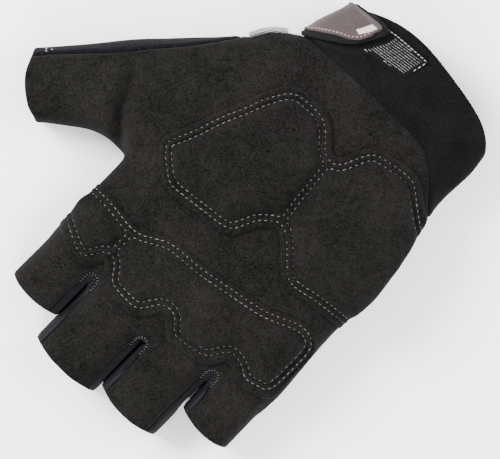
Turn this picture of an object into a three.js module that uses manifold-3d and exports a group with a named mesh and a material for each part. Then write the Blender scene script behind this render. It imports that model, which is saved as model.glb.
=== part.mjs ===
// A half-finger cycling glove for the right hand, lying on its back with the palm up.
// Millimetres. +X points to the thumb side, +Y to the fingers and +Z up out of the palm.
// The origin lies on the resting face, under the middle of the glove's length and of its knuckles.
import * as THREE from "three";
import { mergeVertices } from "three/addons/utils/BufferGeometryUtils.js";
import Module from "manifold-3d";

const wasm = await Module();
wasm.setup();

// Driving dimensions of the whole glove
const PALM_LENGTH = 132; // from the wrist rim's middle to the knuckle line
const PALM_HEIGHT = 27; // thickest part of the lying glove, without its pads
const FINGER_HEIGHT = 18; // height of the four finger stalls
const THUMB_HEIGHT = 19; // height of the thumb stall at its hem
const THUMB_REACH = 51; // how far the thumb stall stands out past the index finger's side
const FINGER_GAP = 0.8; // between two neighbouring finger stalls at their hems
const SEAM_LEVEL = 8.5; // height of the side seam above the floor
const WRIST_LIFT = 2.6; // the strap lies under the wrist and lifts it by this much

// Fabric thicknesses and what keeps the pieces apart
const SUEDE = 1.4;
const KNIT = 1.2;
const TERRY = 1.5;
const NEOPRENE = 2.2;
const SEAM_GAP = 0.3;

// Overlays on the palm
const OVERLAY = 1.2; // suede of an overlay
const OVERLAY_FOOT = SEAM_LEVEL + 1.5; // an overlay wraps the side down to this height
const HEEL_PAD_RISE = 3.2; // foam under the heel overlay
const KNUCKLE_PAD_RISE = 2.4; // foam under the knuckle overlay

// Gussets between the fingers
const GUSSET_SHOW = 2.7; // how far a gusset shows on each side of its slot
const GUSSET_FOOT = 4.5; // height of a gusset's lower seam
const WEB = 2.5; // from the gusset's seam to the bottom of the slot
const SLOT_WIDTH = 1.8;

// Closure strap, its moulded face and the hook tape
const STRAP = 1.9;
const FACE = 1.1;
const FACE_MARGIN = 1.6; // strap that shows round its moulded face
const INLAY = 0.5;
const HOOK_TAPE = 1.1;

// The four finger stalls: width, reach past the knuckle line, and how far the hem bows out
const FINGERS = [
  { name: "little", width: 22.1, reach: 22.5, bow: 2.4 },
  { name: "ring", width: 25.8, reach: 37.2, bow: 2.9 },
  { name: "middle", width: 28, reach: 41.4, bow: 2.5 },
  { name: "index", width: 22.2, reach: 31, bow: 2.2 },
];

// Where each slot's seam lies past the knuckle line
const CROTCHES = [
  { name: "little_ring", depth: 5.3 },
  { name: "ring_middle", depth: 14.8 },
  { name: "middle_index", depth: 11 },
];

const KNUCKLE_WIDTH = FINGERS.reduce((sum, f) => sum + f.width, 0) + 3 * FINGER_GAP;
const KNUCKLE_Y = PALM_LENGTH / 3; // the rim's middle is then at -2/3 of the palm's length
const BODY_END = KNUCKLE_Y + Math.max(...CROTCHES.map((c) => c.depth)) + WEB + 1.2;
const OPEN_END = 6; // how far a hollow runs past the hem that it opens

// A finger stall from its root inside the palm to its hem, as shares of its own length, width,
// height and bow. It is a little narrower at its root.
const FINGER_ROWS = [
  { along: 0, wide: 0.96, tall: 0.9, bowed: 0 },
  { along: 0.42, wide: 0.965, tall: 1, bowed: 0.1 },
  { along: 0.72, wide: 0.98, tall: 0.98, bowed: 0.5 },
  { along: 1, wide: 1, tall: 0.96, bowed: 1 },
];
const ROOT_REACH = 0.8; // how far a stall's root lies below the knuckle line, as a share of its width

// Palm and wrist, from the rim to the webs. ulnar and thumbward are shares of the knuckle width,
// y of the palm's length, top of the palm's height, lift of the wrist's lift, bow of the palm's length.
const PALM_ROWS = [
  { ulnar: -0.422, thumbward: 0.312, y: -0.565, top: 0.74, lift: 1, bow: -0.1 },
  { ulnar: -0.432, thumbward: 0.33, y: -0.51, top: 0.76, lift: 1, bow: -0.035 },
  { ulnar: -0.43, thumbward: 0.362, y: -0.455, top: 0.81, lift: 1, bow: -0.006 },
  { ulnar: -0.426, thumbward: 0.43, y: -0.405, top: 0.88, lift: 0.5, bow: 0 },
  { ulnar: -0.431, thumbward: 0.478, y: -0.35, top: 0.94, lift: 0, bow: 0 },
  { ulnar: -0.452, thumbward: 0.5, y: -0.267, top: 0.99, lift: 0, bow: 0 },
  { ulnar: -0.476, thumbward: 0.51, y: -0.16, top: 1, lift: 0, bow: 0 },
  { ulnar: -0.492, thumbward: 0.51, y: -0.053, top: 1, lift: 0, bow: 0 },
  { ulnar: -0.482, thumbward: 0.502, y: 0.06, top: 0.97, lift: 0, bow: 0 },
  { ulnar: -0.486, thumbward: 0.496, y: 0.15, top: 0.93, lift: 0, bow: 0 },
  { ulnar: -0.497, thumbward: 0.498, y: 0.25, top: 0.87, lift: 0, bow: 0 },
  { ulnar: -0.5, thumbward: 0.5, y: 0.335, top: 0.77, lift: 0, bow: 0 },
];
const WEB_ROW = { wide: 0.988, top: 0.78 }; // last row, inside the fingers' roots

// Thumb stall, from inside the palm to its hem. x is a share of the thumb's reach past the index
// finger's side, y of the palm's length, top of the thumb's height, bow of the thumb's reach.
const THUMB_ROWS = [
  { inX: -0.7, inY: 0.05, outX: -0.42, outY: -0.38, top: 1.2, bow: 0 },
  { inX: -0.16, inY: 0.1, outX: -0.055, outY: -0.345, top: 1.28, bow: 0 },
  { inX: 0.03, inY: 0.124, outX: 0.155, outY: -0.272, top: 1.26, bow: 0 },
  { inX: 0.16, inY: 0.124, outX: 0.366, outY: -0.188, top: 1.18, bow: 0 },
  { inX: 0.307, inY: 0.142, outX: 0.541, outY: -0.118, top: 1.1, bow: 0.01 },
  { inX: 0.463, inY: 0.183, outX: 0.74, outY: -0.025, top: 1.03, bow: 0.04 },
  { inX: 0.585, inY: 0.218, outX: 0.965, outY: 0.074, top: 1, bow: 0.1 },
];

// Folds pressed into the palm side: ends as shares of the knuckle width and the palm's length
const FOLDS = [
  { x1: 0.52, y1: 0.15, x2: 0.66, y2: -0.035, width: 4, depth: 3.6 },
  { x1: 0.4, y1: 0.19, x2: 0.49, y2: 0.12, width: 6, depth: 1.4 },
];
const FOLD_FADE = 0.6; // share of its depth that a fold loses by its far end

// Seam between suede and cuff on the palm side, from the little finger's side to the thumb's
const CUFF_SEAM = [
  [-0.6, -0.24], [-0.435, -0.335], [-0.35, -0.4], [-0.275, -0.448], [-0.2, -0.462],
  [0, -0.463], [0.2, -0.457], [0.36, -0.447], [0.6, -0.42],
];
const CUFF_SEAM_BACK = -0.45; // the same seam on the back of the hand, a straight line

// Seam between suede and the thumb's back on the palm side
const THUMB_SEAM = [
  [0.475, -0.345], [0.55, -0.274], [0.6, -0.227], [0.65, -0.18], [0.7, -0.137],
  [0.75, -0.088], [0.8, -0.042], [0.85, 0], [0.9, 0.042], [0.95, 0.08], [1.08, 0.18],
];
// Where the thumb's back meets the back panel, underneath
const THUMB_BACK_EDGE = [
  [0.475, -0.42], [0.42, -0.3], [0.44, 0.02], [0.5, 0.16], [0.62, 0.4], [2.4, 0.4], [2.4, -0.42],
];

// Outlines of the overlays and their padded cells, as shares like the seams
const HEEL_OVERLAY = [
  [-0.6, 0.055], [-0.45, 0.06], [-0.35, 0.065], [-0.25, 0.072], [-0.2, 0.055], [-0.14, 0.018],
  [-0.08, -0.012], [-0.04, 0.004], [0, 0.05], [0.04, 0.085], [0.1, 0.098], [0.2, 0.106],
  [0.31, 0.11], [0.38, 0.09], [0.45, 0.03], [0.43, -0.05], [0.38, -0.14], [0.33, -0.22],
  [0.28, -0.3], [0.22, -0.343], [0.1, -0.343], [0.05, -0.315], [0, -0.275], [-0.04, -0.268],
  [-0.08, -0.29], [-0.11, -0.355], [-0.2, -0.385], [-0.3, -0.392], [-0.38, -0.355], [-0.6, -0.22],
];
const THENAR_CELL = {
  spine: [[0.1, -0.21], [0.24, 0.01]],
  count: 34,
  outline: [
    [-0.02, -0.05], [0.02, 0.03], [0.09, 0.064], [0.2, 0.07], [0.3, 0.076], [0.36, 0.06],
    [0.39, 0.02], [0.35, -0.09], [0.29, -0.2], [0.22, -0.293], [0.1, -0.3], [0.04, -0.25],
    [-0.01, -0.21], [-0.03, -0.13],
  ],
};
const HYPOTHENAR_CELL = {
  spine: [[-0.3, -0.06], [-0.25, -0.25]],
  count: 34,
  outline: [
    [-0.46, 0.02], [-0.35, 0.03], [-0.25, 0.034], [-0.19, 0], [-0.11, -0.045], [-0.085, -0.12],
    [-0.075, -0.21], [-0.12, -0.26], [-0.16, -0.325], [-0.25, -0.345], [-0.31, -0.345],
    [-0.4, -0.27], [-0.44, -0.16], [-0.465, -0.07],
  ],
};
const KNUCKLE_OVERLAY = [
  [-0.48, 0.3], [-0.42, 0.345], [-0.33, 0.36], [-0.28, 0.36], [-0.24, 0.384], [-0.15, 0.396],
  [-0.06, 0.396], [0, 0.366], [0.04, 0.4], [0.1, 0.42], [0.19, 0.42], [0.27, 0.375],
  [0.32, 0.395], [0.37, 0.418], [0.46, 0.405], [0.56, 0.39], [0.58, 0.235], [0.45, 0.237],
  [0.3, 0.243], [0.2, 0.205], [0.1, 0.195], [0, 0.19], [-0.1, 0.18], [-0.2, 0.165],
  [-0.3, 0.135], [-0.4, 0.112], [-0.47, 0.13], [-0.5, 0.2],
];
const METACARPAL_CELL = {
  spine: [[-0.36, 0.23], [0.19, 0.3]],
  count: 48,
  outline: [
    [-0.44, 0.285], [-0.36, 0.3], [-0.28, 0.278], [-0.22, 0.29], [-0.17, 0.335], [-0.1, 0.35],
    [-0.05, 0.325], [0, 0.32], [0.06, 0.34], [0.12, 0.38], [0.2, 0.375], [0.265, 0.34],
    [0.27, 0.285], [0.22, 0.24], [0.1, 0.222], [0, 0.215], [-0.1, 0.205], [-0.2, 0.19],
    [-0.3, 0.162], [-0.4, 0.14], [-0.44, 0.18],
  ],
};
const INDEX_CELL = {
  spine: [[0.36, 0.32], [0.44, 0.315]],
  count: 24,
  outline: [
    [0.325, 0.34], [0.37, 0.37], [0.43, 0.365], [0.475, 0.345], [0.48, 0.29], [0.42, 0.27],
    [0.335, 0.275], [0.315, 0.31],
  ],
};

// The closure strap, from its sewn end on the back, round the thumb's side, to its free end on the palm.
// turn is the angle round the wrist, upper and lower its edges as shares of the palm's length,
// rise how far it stands off the cuff.
const STRAP_ROWS = [
  { turn: -132, upper: -0.475, lower: -0.565, rise: 0.3 },
  { turn: -100, upper: -0.468, lower: -0.6, rise: 0.3 },
  { turn: -60, upper: -0.462, lower: -0.61, rise: 0.3 },
  { turn: -25, upper: -0.455, lower: -0.605, rise: 0.35 },
  { turn: 0, upper: -0.452, lower: -0.6, rise: 0.5 },
  { turn: 25, upper: -0.468, lower: -0.6, rise: 1.1 },
  { turn: 42, upper: -0.492, lower: -0.614, rise: 1.9 },
  { turn: 55, upper: -0.523, lower: -0.624, rise: 2.5 },
  { turn: 62, upper: -0.56, lower: -0.625, rise: 2.7 },
  { turn: 65, upper: -0.585, lower: -0.622, rise: 2.8 },
];
const FACE_START = -18; // turn at which the moulded face begins
const FACE_END_MARGIN = 1.5; // degrees of strap past the face's end
const INLAY_TURNS = [53, 60]; // turns between which the inlay lies

// Corners of the hook tape on the cuff, as shares
const HOOK_CORNERS = [
  [-0.02, -0.543], [0.17, -0.528], [0.17, -0.628], [-0.048, -0.636],
];

// Section shape and fineness
const ROUND_TOP = 2.5; // exponent of the rounded palm side, 2 is an ellipse
const ROUND_BACK = 3; // the back is squarer, because it lies on the floor
const WIDEST = 0.43; // height of a section's widest place, as a share
const SINK = 1.6; // the back's curve is pressed flat by this much
const BOW_SHAPE = 2.6; // exponent of a bowed rim or hem, 2 is a parabola
const PALM_SIDES = 26;
const STALL_SIDES = 18;

const planX = (share) => share * KNUCKLE_WIDTH;
const planY = (share) => share * PALM_LENGTH;
const planPoint = ([x, y]) => new THREE.Vector2(planX(x), planY(y));

// Turns a closed three.js geometry into a solid that can be cut and joined.
function solidOf(geometry) {
  const bare = new THREE.BufferGeometry();
  bare.setAttribute("position", geometry.getAttribute("position"));
  if (geometry.index) bare.setIndex(geometry.index);
  const merged = mergeVertices(bare, 1e-4);
  const mesh = new wasm.Mesh({
    numProp: 3,
    vertProperties: merged.attributes.position.array,
    triVerts: new Uint32Array(merged.index.array),
  });
  return new wasm.Manifold(mesh);
}

// Offcuts that a trim leaves are dropped: only the largest body stays.
function largest(solid) {
  const bodies = solid.decompose();
  return bodies.reduce((a, b) => (b.volume() > a.volume() ? b : a));
}

// The smooth row at a place t between numbered rows
function rowAt(rows, t) {
  const last = rows.length - 1;
  const i = Math.min(Math.floor(t), last - 1);
  const f = t - i;
  const row = {};
  for (const key of Object.keys(rows[0])) {
    const [p0, p1, p2, p3] = [i - 1, i, i + 1, i + 2].map((k) => rows[Math.min(Math.max(k, 0), last)][key]);
    const slope1 = (p2 - p0) / 2;
    const slope2 = (p3 - p1) / 2;
    const bend = 3 * (p2 - p1) - 2 * slope1 - slope2;
    const turn = 2 * (p1 - p2) + slope1 + slope2;
    row[key] = p1 + f * (slope1 + f * (bend + f * turn));
  }
  return row;
}

// Fills in smooth rows between the chosen ones.
function refined(rows, steps) {
  const made = [];
  for (let k = 0; k <= (rows.length - 1) * steps; k++) made.push(rowAt(rows, k / steps));
  return made;
}

function foldDepth(x, y) {
  let depth = 0;
  for (const fold of FOLDS) {
    const a = planPoint([fold.x1, fold.y1]);
    const b = planPoint([fold.x2, fold.y2]);
    const along = b.clone().sub(a);
    const t = ((x - a.x) * along.x + (y - a.y) * along.y) / along.lengthSq();
    const s = Math.min(Math.max(t, 0), 1);
    const away = Math.hypot(x - a.x - s * along.x, y - a.y - s * along.y);
    depth += fold.depth * (1 - FOLD_FADE * s) * Math.exp(-((away / fold.width) ** 2));
  }
  return depth;
}

// One row is an oval that stands over the line from a to b. inset takes it in by a wall's thickness.
function ovalPoint(row, angle, inset) {
  const base = Math.max(row.base, 0);
  const c = Math.cos(angle);
  const s = Math.sin(angle);
  const round = s >= 0 ? ROUND_TOP : ROUND_BACK;
  const half = Math.hypot(row.bx - row.ax, row.by - row.ay) / 2;
  const across = Math.sign(c) * Math.abs(c) ** (2 / round);
  const reach = (across * (half - inset)) / half;
  const middle = base + WIDEST * (row.top - base);
  const rise = Math.abs(s) ** (2 / round);
  const bowed = row.bow * (1 - Math.abs(reach) ** BOW_SHAPE);
  const x = (row.ax + row.bx) / 2 + ((row.bx - row.ax) / 2) * reach + row.dx * bowed;
  const y = (row.ay + row.by) / 2 + ((row.by - row.ay) / 2) * reach + row.dy * bowed;
  let z = middle + (row.top - inset - middle) * rise;
  if (s < 0) z = Math.max(base + inset, middle - (middle - base + SINK - inset) * rise);
  else z -= foldDepth(x, y) * rise;
  return new THREE.Vector3(x, y, z);
}

// A closed solid lofted through rows of ovals. open lengthens it past its last or first row.
function loft(rows, sides, inset, open = { start: 0, end: 0 }) {
  const all = [...rows];
  const shifted = (row, next, far) => {
    const dx = (row.ax + row.bx - next.ax - next.bx) / 2;
    const dy = (row.ay + row.by - next.ay - next.by) / 2;
    const k = far / Math.hypot(dx, dy);
    return { ...row, ax: row.ax + k * dx, bx: row.bx + k * dx, ay: row.ay + k * dy, by: row.by + k * dy };
  };
  if (open.end) all.push(shifted(rows.at(-1), rows.at(-2), open.end));
  if (open.start) all.unshift(shifted(rows[0], rows[1], open.start));
  const vertices = [];
  const faces = [];
  const centre = (row) => {
    const p = ovalPoint(row, 0, inset).add(ovalPoint(row, Math.PI, inset)).multiplyScalar(0.5);
    return [p.x + row.dx * row.bow, p.y + row.dy * row.bow, p.z];
  };
  for (const row of all)
    for (let j = 0; j < sides; j++)
      vertices.push(...ovalPoint(row, (2 * Math.PI * j) / sides, inset).toArray());
  const id = (i, j) => i * sides + (j % sides);
  for (let i = 0; i + 1 < all.length; i++)
    for (let j = 0; j < sides; j++) {
      faces.push(id(i, j), id(i + 1, j), id(i, j + 1));
      faces.push(id(i + 1, j), id(i + 1, j + 1), id(i, j + 1));
    }
  const first = vertices.length / 3;
  vertices.push(...centre(all[0]), ...centre(all.at(-1)));
  for (let j = 0; j < sides; j++) {
    faces.push(first, id(0, j), id(0, j + 1));
    faces.push(first + 1, id(all.length - 1, j + 1), id(all.length - 1, j));
  }
  const geometry = new THREE.BufferGeometry();
  geometry.setAttribute("position", new THREE.Float32BufferAttribute(vertices, 3));
  geometry.setIndex(faces);
  return solidOf(geometry);
}

const palmRows = [
  ...PALM_ROWS.map((r) => ({
    ax: planX(r.ulnar), ay: planY(r.y), bx: planX(r.thumbward), by: planY(r.y),
    top: r.top * PALM_HEIGHT, base: r.lift * WRIST_LIFT, bow: planY(r.bow), dx: 0, dy: 1,
  })),
  {
    ax: -WEB_ROW.wide * KNUCKLE_WIDTH / 2, ay: BODY_END, bx: WEB_ROW.wide * KNUCKLE_WIDTH / 2, by: BODY_END,
    top: WEB_ROW.top * FINGER_HEIGHT, base: 0, bow: 0, dx: 0, dy: 1,
  },
];

const thumbRows = THUMB_ROWS.map((r) => {
  const side = KNUCKLE_WIDTH / 2;
  const a = [side + r.inX * THUMB_REACH, planY(r.inY)];
  const b = [side + r.outX * THUMB_REACH, planY(r.outY)];
  const chord = Math.hypot(b[0] - a[0], b[1] - a[1]);
  return {
    ax: a[0], ay: a[1], bx: b[0], by: b[1], top: r.top * THUMB_HEIGHT, base: 0,
    bow: r.bow * THUMB_REACH, dx: (a[1] - b[1]) / chord, dy: (b[0] - a[0]) / chord,
  };
});

// Each finger stall starts inside the palm and widens a little towards its hem.
const fingerSides = [];
let edge = -KNUCKLE_WIDTH / 2;
for (const finger of FINGERS) {
  fingerSides.push({ left: edge, right: edge + finger.width });
  edge += finger.width + FINGER_GAP;
}
const slotCentres = CROTCHES.map((_, k) => (fingerSides[k].right + fingerSides[k + 1].left) / 2);

function fingerRows(k) {
  const { width, reach, bow } = FINGERS[k];
  const middle = (fingerSides[k].left + fingerSides[k].right) / 2;
  const root = KNUCKLE_Y - ROOT_REACH * width;
  const hem = KNUCKLE_Y + reach;
  return FINGER_ROWS.map((r) => ({
    ax: middle - (r.wide * width) / 2, ay: root + r.along * (hem - root),
    bx: middle + (r.wide * width) / 2, by: root + r.along * (hem - root),
    top: r.tall * FINGER_HEIGHT, base: 0, bow: r.bowed * bow, dx: 0, dy: 1,
  }));
}

// A flat outline drawn upright from one height to another.
function prism(points, low, high) {
  const shape = new THREE.Shape(points);
  const geometry = new THREE.ExtrudeGeometry(shape, { depth: high - low, bevelEnabled: false });
  geometry.translate(0, 0, low);
  return solidOf(geometry);
}

function smoothOutline(table, count) {
  const curve = new THREE.CatmullRomCurve3(
    table.map((p) => new THREE.Vector3(planX(p[0]), planY(p[1]), 0)), true, "centripetal");
  return curve.getSpacedPoints(count).slice(0, count).map((p) => new THREE.Vector2(p.x, p.y));
}

const CEILING = 2 * PALM_HEIGHT;
const FLOOR = -PALM_HEIGHT;

// The slot between two fingers, as an outline with a round bottom.
function slotOutline(k, halfWidth, bottom) {
  const x = slotCentres[k];
  const points = [];
  for (let j = 0; j <= 10; j++) {
    const a = Math.PI + (Math.PI * j) / 10;
    points.push(new THREE.Vector2(x + halfWidth * Math.cos(a), bottom + halfWidth * (1 + Math.sin(a))));
  }
  const far = KNUCKLE_Y + 3 * Math.max(...FINGERS.map((f) => f.reach));
  points.push(new THREE.Vector2(x + halfWidth, far), new THREE.Vector2(x - halfWidth, far));
  return points;
}

const palmFine = refined(palmRows, 1);
const thumbFine = refined(thumbRows, 2);
const fingersFine = FINGERS.map((_, k) => refined(fingerRows(k), 1));

// The whole hand form, taken in by an inset, or let out where the inset is negative.
function handForm(inset, open) {
  const end = open ? OPEN_END : 0;
  let palm = loft(palmFine, PALM_SIDES, inset, { start: end, end: 0 });
  for (let k = 0; k < CROTCHES.length; k++) {
    const bottom = KNUCKLE_Y + CROTCHES[k].depth + WEB - Math.max(inset, 0);
    palm = palm.subtract(prism(slotOutline(k, SLOT_WIDTH / 2 + Math.max(inset, 0), bottom), FLOOR, CEILING));
  }
  let form = palm.add(loft(thumbFine, STALL_SIDES, inset, { start: 0, end }));
  for (const rows of fingersFine) form = form.add(loft(rows, STALL_SIDES, inset, { start: 0, end }));
  return form;
}

const outer = handForm(0, false);
const clearOfHand = handForm(-SEAM_GAP, true);
const shellOf = (wall) => outer.subtract(handForm(wall, true));

// Half spaces and plan regions that the shell is cut along
const WIDE = 4 * (PALM_LENGTH + KNUCKLE_WIDTH);
function slab(low, high) {
  const box = new THREE.BoxGeometry(WIDE, WIDE, high - low);
  box.translate(0, 0, (low + high) / 2);
  return solidOf(box);
}
function cuffRegion(shift) {
  const seam = CUFF_SEAM.map(planPoint).map((p) => new THREE.Vector2(p.x, p.y + shift));
  const far = 2 * PALM_LENGTH;
  const front = [...seam, new THREE.Vector2(far, -far), new THREE.Vector2(-far, -far)];
  const y = planY(CUFF_SEAM_BACK) + shift;
  const back = [[-far, y], [far, y], [far, -far], [-far, -far]].map((p) => new THREE.Vector2(...p));
  return prism(front, SEAM_LEVEL, CEILING).add(prism(back, FLOOR, SEAM_LEVEL));
}
function thumbBackRegion(shift) {
  const slant = new THREE.Vector2(-shift, shift).multiplyScalar(Math.SQRT1_2);
  const moved = (table) => table.map((p) => planPoint(p).add(slant));
  const past = THUMB_SEAM.at(-1)[0] + 1;
  const front = moved([...THUMB_SEAM, [past, THUMB_SEAM[0][1]], THUMB_BACK_EDGE[0]]);
  return prism(front, SEAM_LEVEL - shift, CEILING)
    .add(prism(moved(THUMB_BACK_EDGE), FLOOR, SEAM_LEVEL + shift));
}

function gussetRegion(k, spread) {
  const bottom = KNUCKLE_Y + CROTCHES[k].depth - spread;
  const half = FINGER_GAP / 2 + GUSSET_SHOW + spread;
  return prism(slotOutline(k, half, bottom), GUSSET_FOOT - spread, CEILING);
}

const gussetRegions = CROTCHES.map((_, k) => gussetRegion(k, 0));
const gussetClear = CROTCHES.map((_, k) => gussetRegion(k, SEAM_GAP)).reduce((a, b) => a.add(b));
const aboveSeam = slab(SEAM_LEVEL + SEAM_GAP, CEILING);
const belowSeam = slab(FLOOR, SEAM_LEVEL);

function palmPanel() {
  return largest(shellOf(SUEDE).intersect(aboveSeam)
    .subtract(cuffRegion(SEAM_GAP)).subtract(thumbBackRegion(SEAM_GAP)).subtract(gussetClear));
}
function backPanel() {
  return largest(shellOf(KNIT).intersect(belowSeam)
    .subtract(cuffRegion(SEAM_GAP)).subtract(thumbBackRegion(SEAM_GAP)).subtract(gussetClear));
}
function thumbBack() {
  return largest(shellOf(TERRY).intersect(thumbBackRegion(0)).subtract(cuffRegion(SEAM_GAP)));
}
function cuffBand() {
  return largest(shellOf(NEOPRENE).intersect(cuffRegion(0)));
}
function gusset(k) {
  return largest(shellOf(KNIT).intersect(gussetRegions[k]));
}

// The palm's section at a length y, found by halving
function palmSection(y) {
  let low = 0;
  let high = palmRows.length - 1;
  while (high - low > 1e-6) {
    const half = (low + high) / 2;
    if (rowAt(palmRows, half).ay < y) low = half;
    else high = half;
  }
  return rowAt(palmRows, low);
}

// Height of the palm's upper surface over a point of the plan
function palmTop(x, y) {
  const row = palmSection(y);
  const half = (row.bx - row.ax) / 2;
  const across = Math.min(Math.abs(x - (row.ax + row.bx) / 2) / half, 0.98);
  const middle = row.base + WIDEST * (row.top - row.base);
  const rise = (1 - across ** ROUND_TOP) ** (1 / ROUND_TOP);
  return middle + (row.top - middle) * rise - foldDepth(x, y) * rise;
}

// Outlines run anticlockwise, so that their faces point out.
const anticlockwise = (points) => (THREE.ShapeUtils.isClockWise(points) ? [...points].reverse() : points);

// How a padded cell climbs from its outline to its crown: shares of the way in, and of its rise
const PAD_RINGS = [
  { inward: 0, climb: 0.1 }, { inward: 0.07, climb: 0.48 }, { inward: 0.18, climb: 0.82 },
  { inward: 0.38, climb: 0.96 }, { inward: 0.72, climb: 1 },
];

// A padded cell stands on the palm's surface, and its rings close in on its spine.
function paddedCell({ outline, spine, count }, rise) {
  const edge = anticlockwise(smoothOutline(outline, count));
  const line = new THREE.Line3(...spine.map(([x, y]) => new THREE.Vector3(planX(x), planY(y), 0)));
  const vertices = [];
  const faces = [];
  const inside = (p, inward) => {
    const flat = new THREE.Vector3(p.x, p.y, 0);
    return flat.lerp(line.closestPointToPoint(flat, true, new THREE.Vector3()), inward);
  };
  const seat = (x, y, climb) => palmTop(x, y) + SEAM_GAP + OVERLAY * 0.6 + rise * climb;
  for (const p of edge) vertices.push(p.x, p.y, 0);
  for (const ring of PAD_RINGS)
    for (const p of edge) {
      const q = inside(p, ring.inward);
      vertices.push(q.x, q.y, seat(q.x, q.y, ring.climb));
    }
  const middle = line.getCenter(new THREE.Vector3());
  const foot = vertices.length / 3;
  vertices.push(middle.x, middle.y, 0, middle.x, middle.y, seat(middle.x, middle.y, 1));
  const id = (r, j) => r * count + (j % count);
  for (let j = 0; j < count; j++) {
    for (let r = 0; r < PAD_RINGS.length; r++)
      faces.push(id(r, j), id(r, j + 1), id(r + 1, j), id(r, j + 1), id(r + 1, j + 1), id(r + 1, j));
    faces.push(foot, id(0, j + 1), id(0, j));
    faces.push(foot + 1, id(PAD_RINGS.length, j), id(PAD_RINGS.length, j + 1));
  }
  const geometry = new THREE.BufferGeometry();
  geometry.setAttribute("position", new THREE.Float32BufferAttribute(vertices, 3));
  geometry.setIndex(faces);
  return solidOf(geometry);
}

function overlay(table, count, cells, rise) {
  const outline = anticlockwise(smoothOutline(table, count));
  let sheet = handForm(-(SEAM_GAP + OVERLAY), false)
    .intersect(prism(outline, OVERLAY_FOOT, CEILING));
  for (const cell of cells) sheet = sheet.add(paddedCell(cell, rise));
  return largest(sheet.subtract(clearOfHand).intersect(slab(OVERLAY_FOOT, CEILING)));
}

// A point on the wrist at a turn round it, standing off it by a height
function wristPoint(y, turn, height) {
  const row = { ...palmSection(y), bow: 0 };
  const point = ovalPoint(row, THREE.MathUtils.degToRad(turn), -height);
  return new THREE.Vector3(point.x, y, point.z);
}

// A band round the wrist: a row for each place along it, a few points across, and two faces.
function band(rows, bottom, top, across) {
  const vertices = [];
  const faces = [];
  for (const side of [bottom, top])
    for (const row of rows)
      for (let j = 0; j <= across; j++) {
        const y = planY(row.upper) + ((planY(row.lower) - planY(row.upper)) * j) / across;
        vertices.push(...wristPoint(y, row.turn, row.rise + side).toArray());
      }
  const wide = across + 1;
  const id = (s, i, j) => (s * rows.length + i) * wide + j;
  const quad = (a, b, c, d) => faces.push(a, b, c, a, c, d);
  for (let i = 0; i + 1 < rows.length; i++) {
    for (let j = 0; j < across; j++) {
      quad(id(1, i, j), id(1, i + 1, j), id(1, i + 1, j + 1), id(1, i, j + 1));
      quad(id(0, i, j), id(0, i, j + 1), id(0, i + 1, j + 1), id(0, i + 1, j));
    }
    quad(id(0, i, 0), id(0, i + 1, 0), id(1, i + 1, 0), id(1, i, 0));
    quad(id(0, i, across), id(1, i, across), id(1, i + 1, across), id(0, i + 1, across));
  }
  for (let j = 0; j < across; j++) {
    quad(id(0, 0, j), id(1, 0, j), id(1, 0, j + 1), id(0, 0, j + 1));
    const e = rows.length - 1;
    quad(id(0, e, j), id(0, e, j + 1), id(1, e, j + 1), id(1, e, j));
  }
  const geometry = new THREE.BufferGeometry();
  geometry.setAttribute("position", new THREE.Float32BufferAttribute(vertices, 3));
  geometry.setIndex(faces);
  return solidOf(geometry);
}

const strapFine = refined(STRAP_ROWS, 3);
function strapBetween(from, to, margin) {
  const share = margin / PALM_LENGTH;
  return strapFine.filter((r) => r.turn >= from && r.turn <= to)
    .map((r) => ({ ...r, upper: r.upper - share, lower: r.lower + share }));
}
const closureStrap = () => largest(band(strapFine, 0, STRAP, 4).subtract(clearOfHand));
const freeEnd = STRAP_ROWS.at(-1).turn;
function tabFace() {
  const start = STRAP + SEAM_GAP;
  return band(strapBetween(FACE_START, freeEnd - FACE_END_MARGIN, FACE_MARGIN), start, start + FACE, 6);
}
function tabInlay() {
  const start = STRAP + FACE + 2 * SEAM_GAP;
  return band(strapBetween(...INLAY_TURNS, 2 * FACE_MARGIN), start, start + INLAY, 3);
}

// The hook tape lies on the cuff, partly under the strap's free end.
function hookPatch() {
  const outline = prism(anticlockwise(HOOK_CORNERS.map(planPoint)), SEAM_LEVEL, CEILING);
  return largest(handForm(-(SEAM_GAP + HOOK_TAPE), true).subtract(clearOfHand).intersect(outline));
}

// Materials, with their colours from the photograph
const FINISHES = {
  suede: { color: 0x2b2925, roughness: 0.95, metalness: 0 },
  knit: { color: 0x2a2b2f, roughness: 0.9, metalness: 0 },
  terry: { color: 0x26272f, roughness: 0.95, metalness: 0 },
  gusset: { color: 0x1c1d26, roughness: 0.85, metalness: 0 },
  neoprene: { color: 0x1a1a1c, roughness: 0.8, metalness: 0 },
  strap: { color: 0x181918, roughness: 0.8, metalness: 0 },
  moulded: { color: 0x6f6460, roughness: 0.55, metalness: 0 },
  inlay: { color: 0xcfc6c4, roughness: 0.4, metalness: 0 },
  hook: { color: 0x3a3a38, roughness: 0.35, metalness: 0 },
};

const glove = new THREE.Group();
function addPiece(name, solid, finish) {
  const made = solid.getMesh();
  const positions = new Float32Array(made.numVert * 3);
  for (let v = 0; v < made.numVert; v++)
    for (let axis = 0; axis < 3; axis++)
      positions[3 * v + axis] = made.vertProperties[made.numProp * v + axis];
  const geometry = new THREE.BufferGeometry();
  geometry.setAttribute("position", new THREE.BufferAttribute(positions, 3));
  geometry.setIndex(new THREE.BufferAttribute(made.triVerts, 1));
  geometry.computeVertexNormals();
  const mesh = new THREE.Mesh(geometry, new THREE.MeshStandardMaterial(FINISHES[finish]));
  mesh.name = name;
  glove.add(mesh);
}

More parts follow.
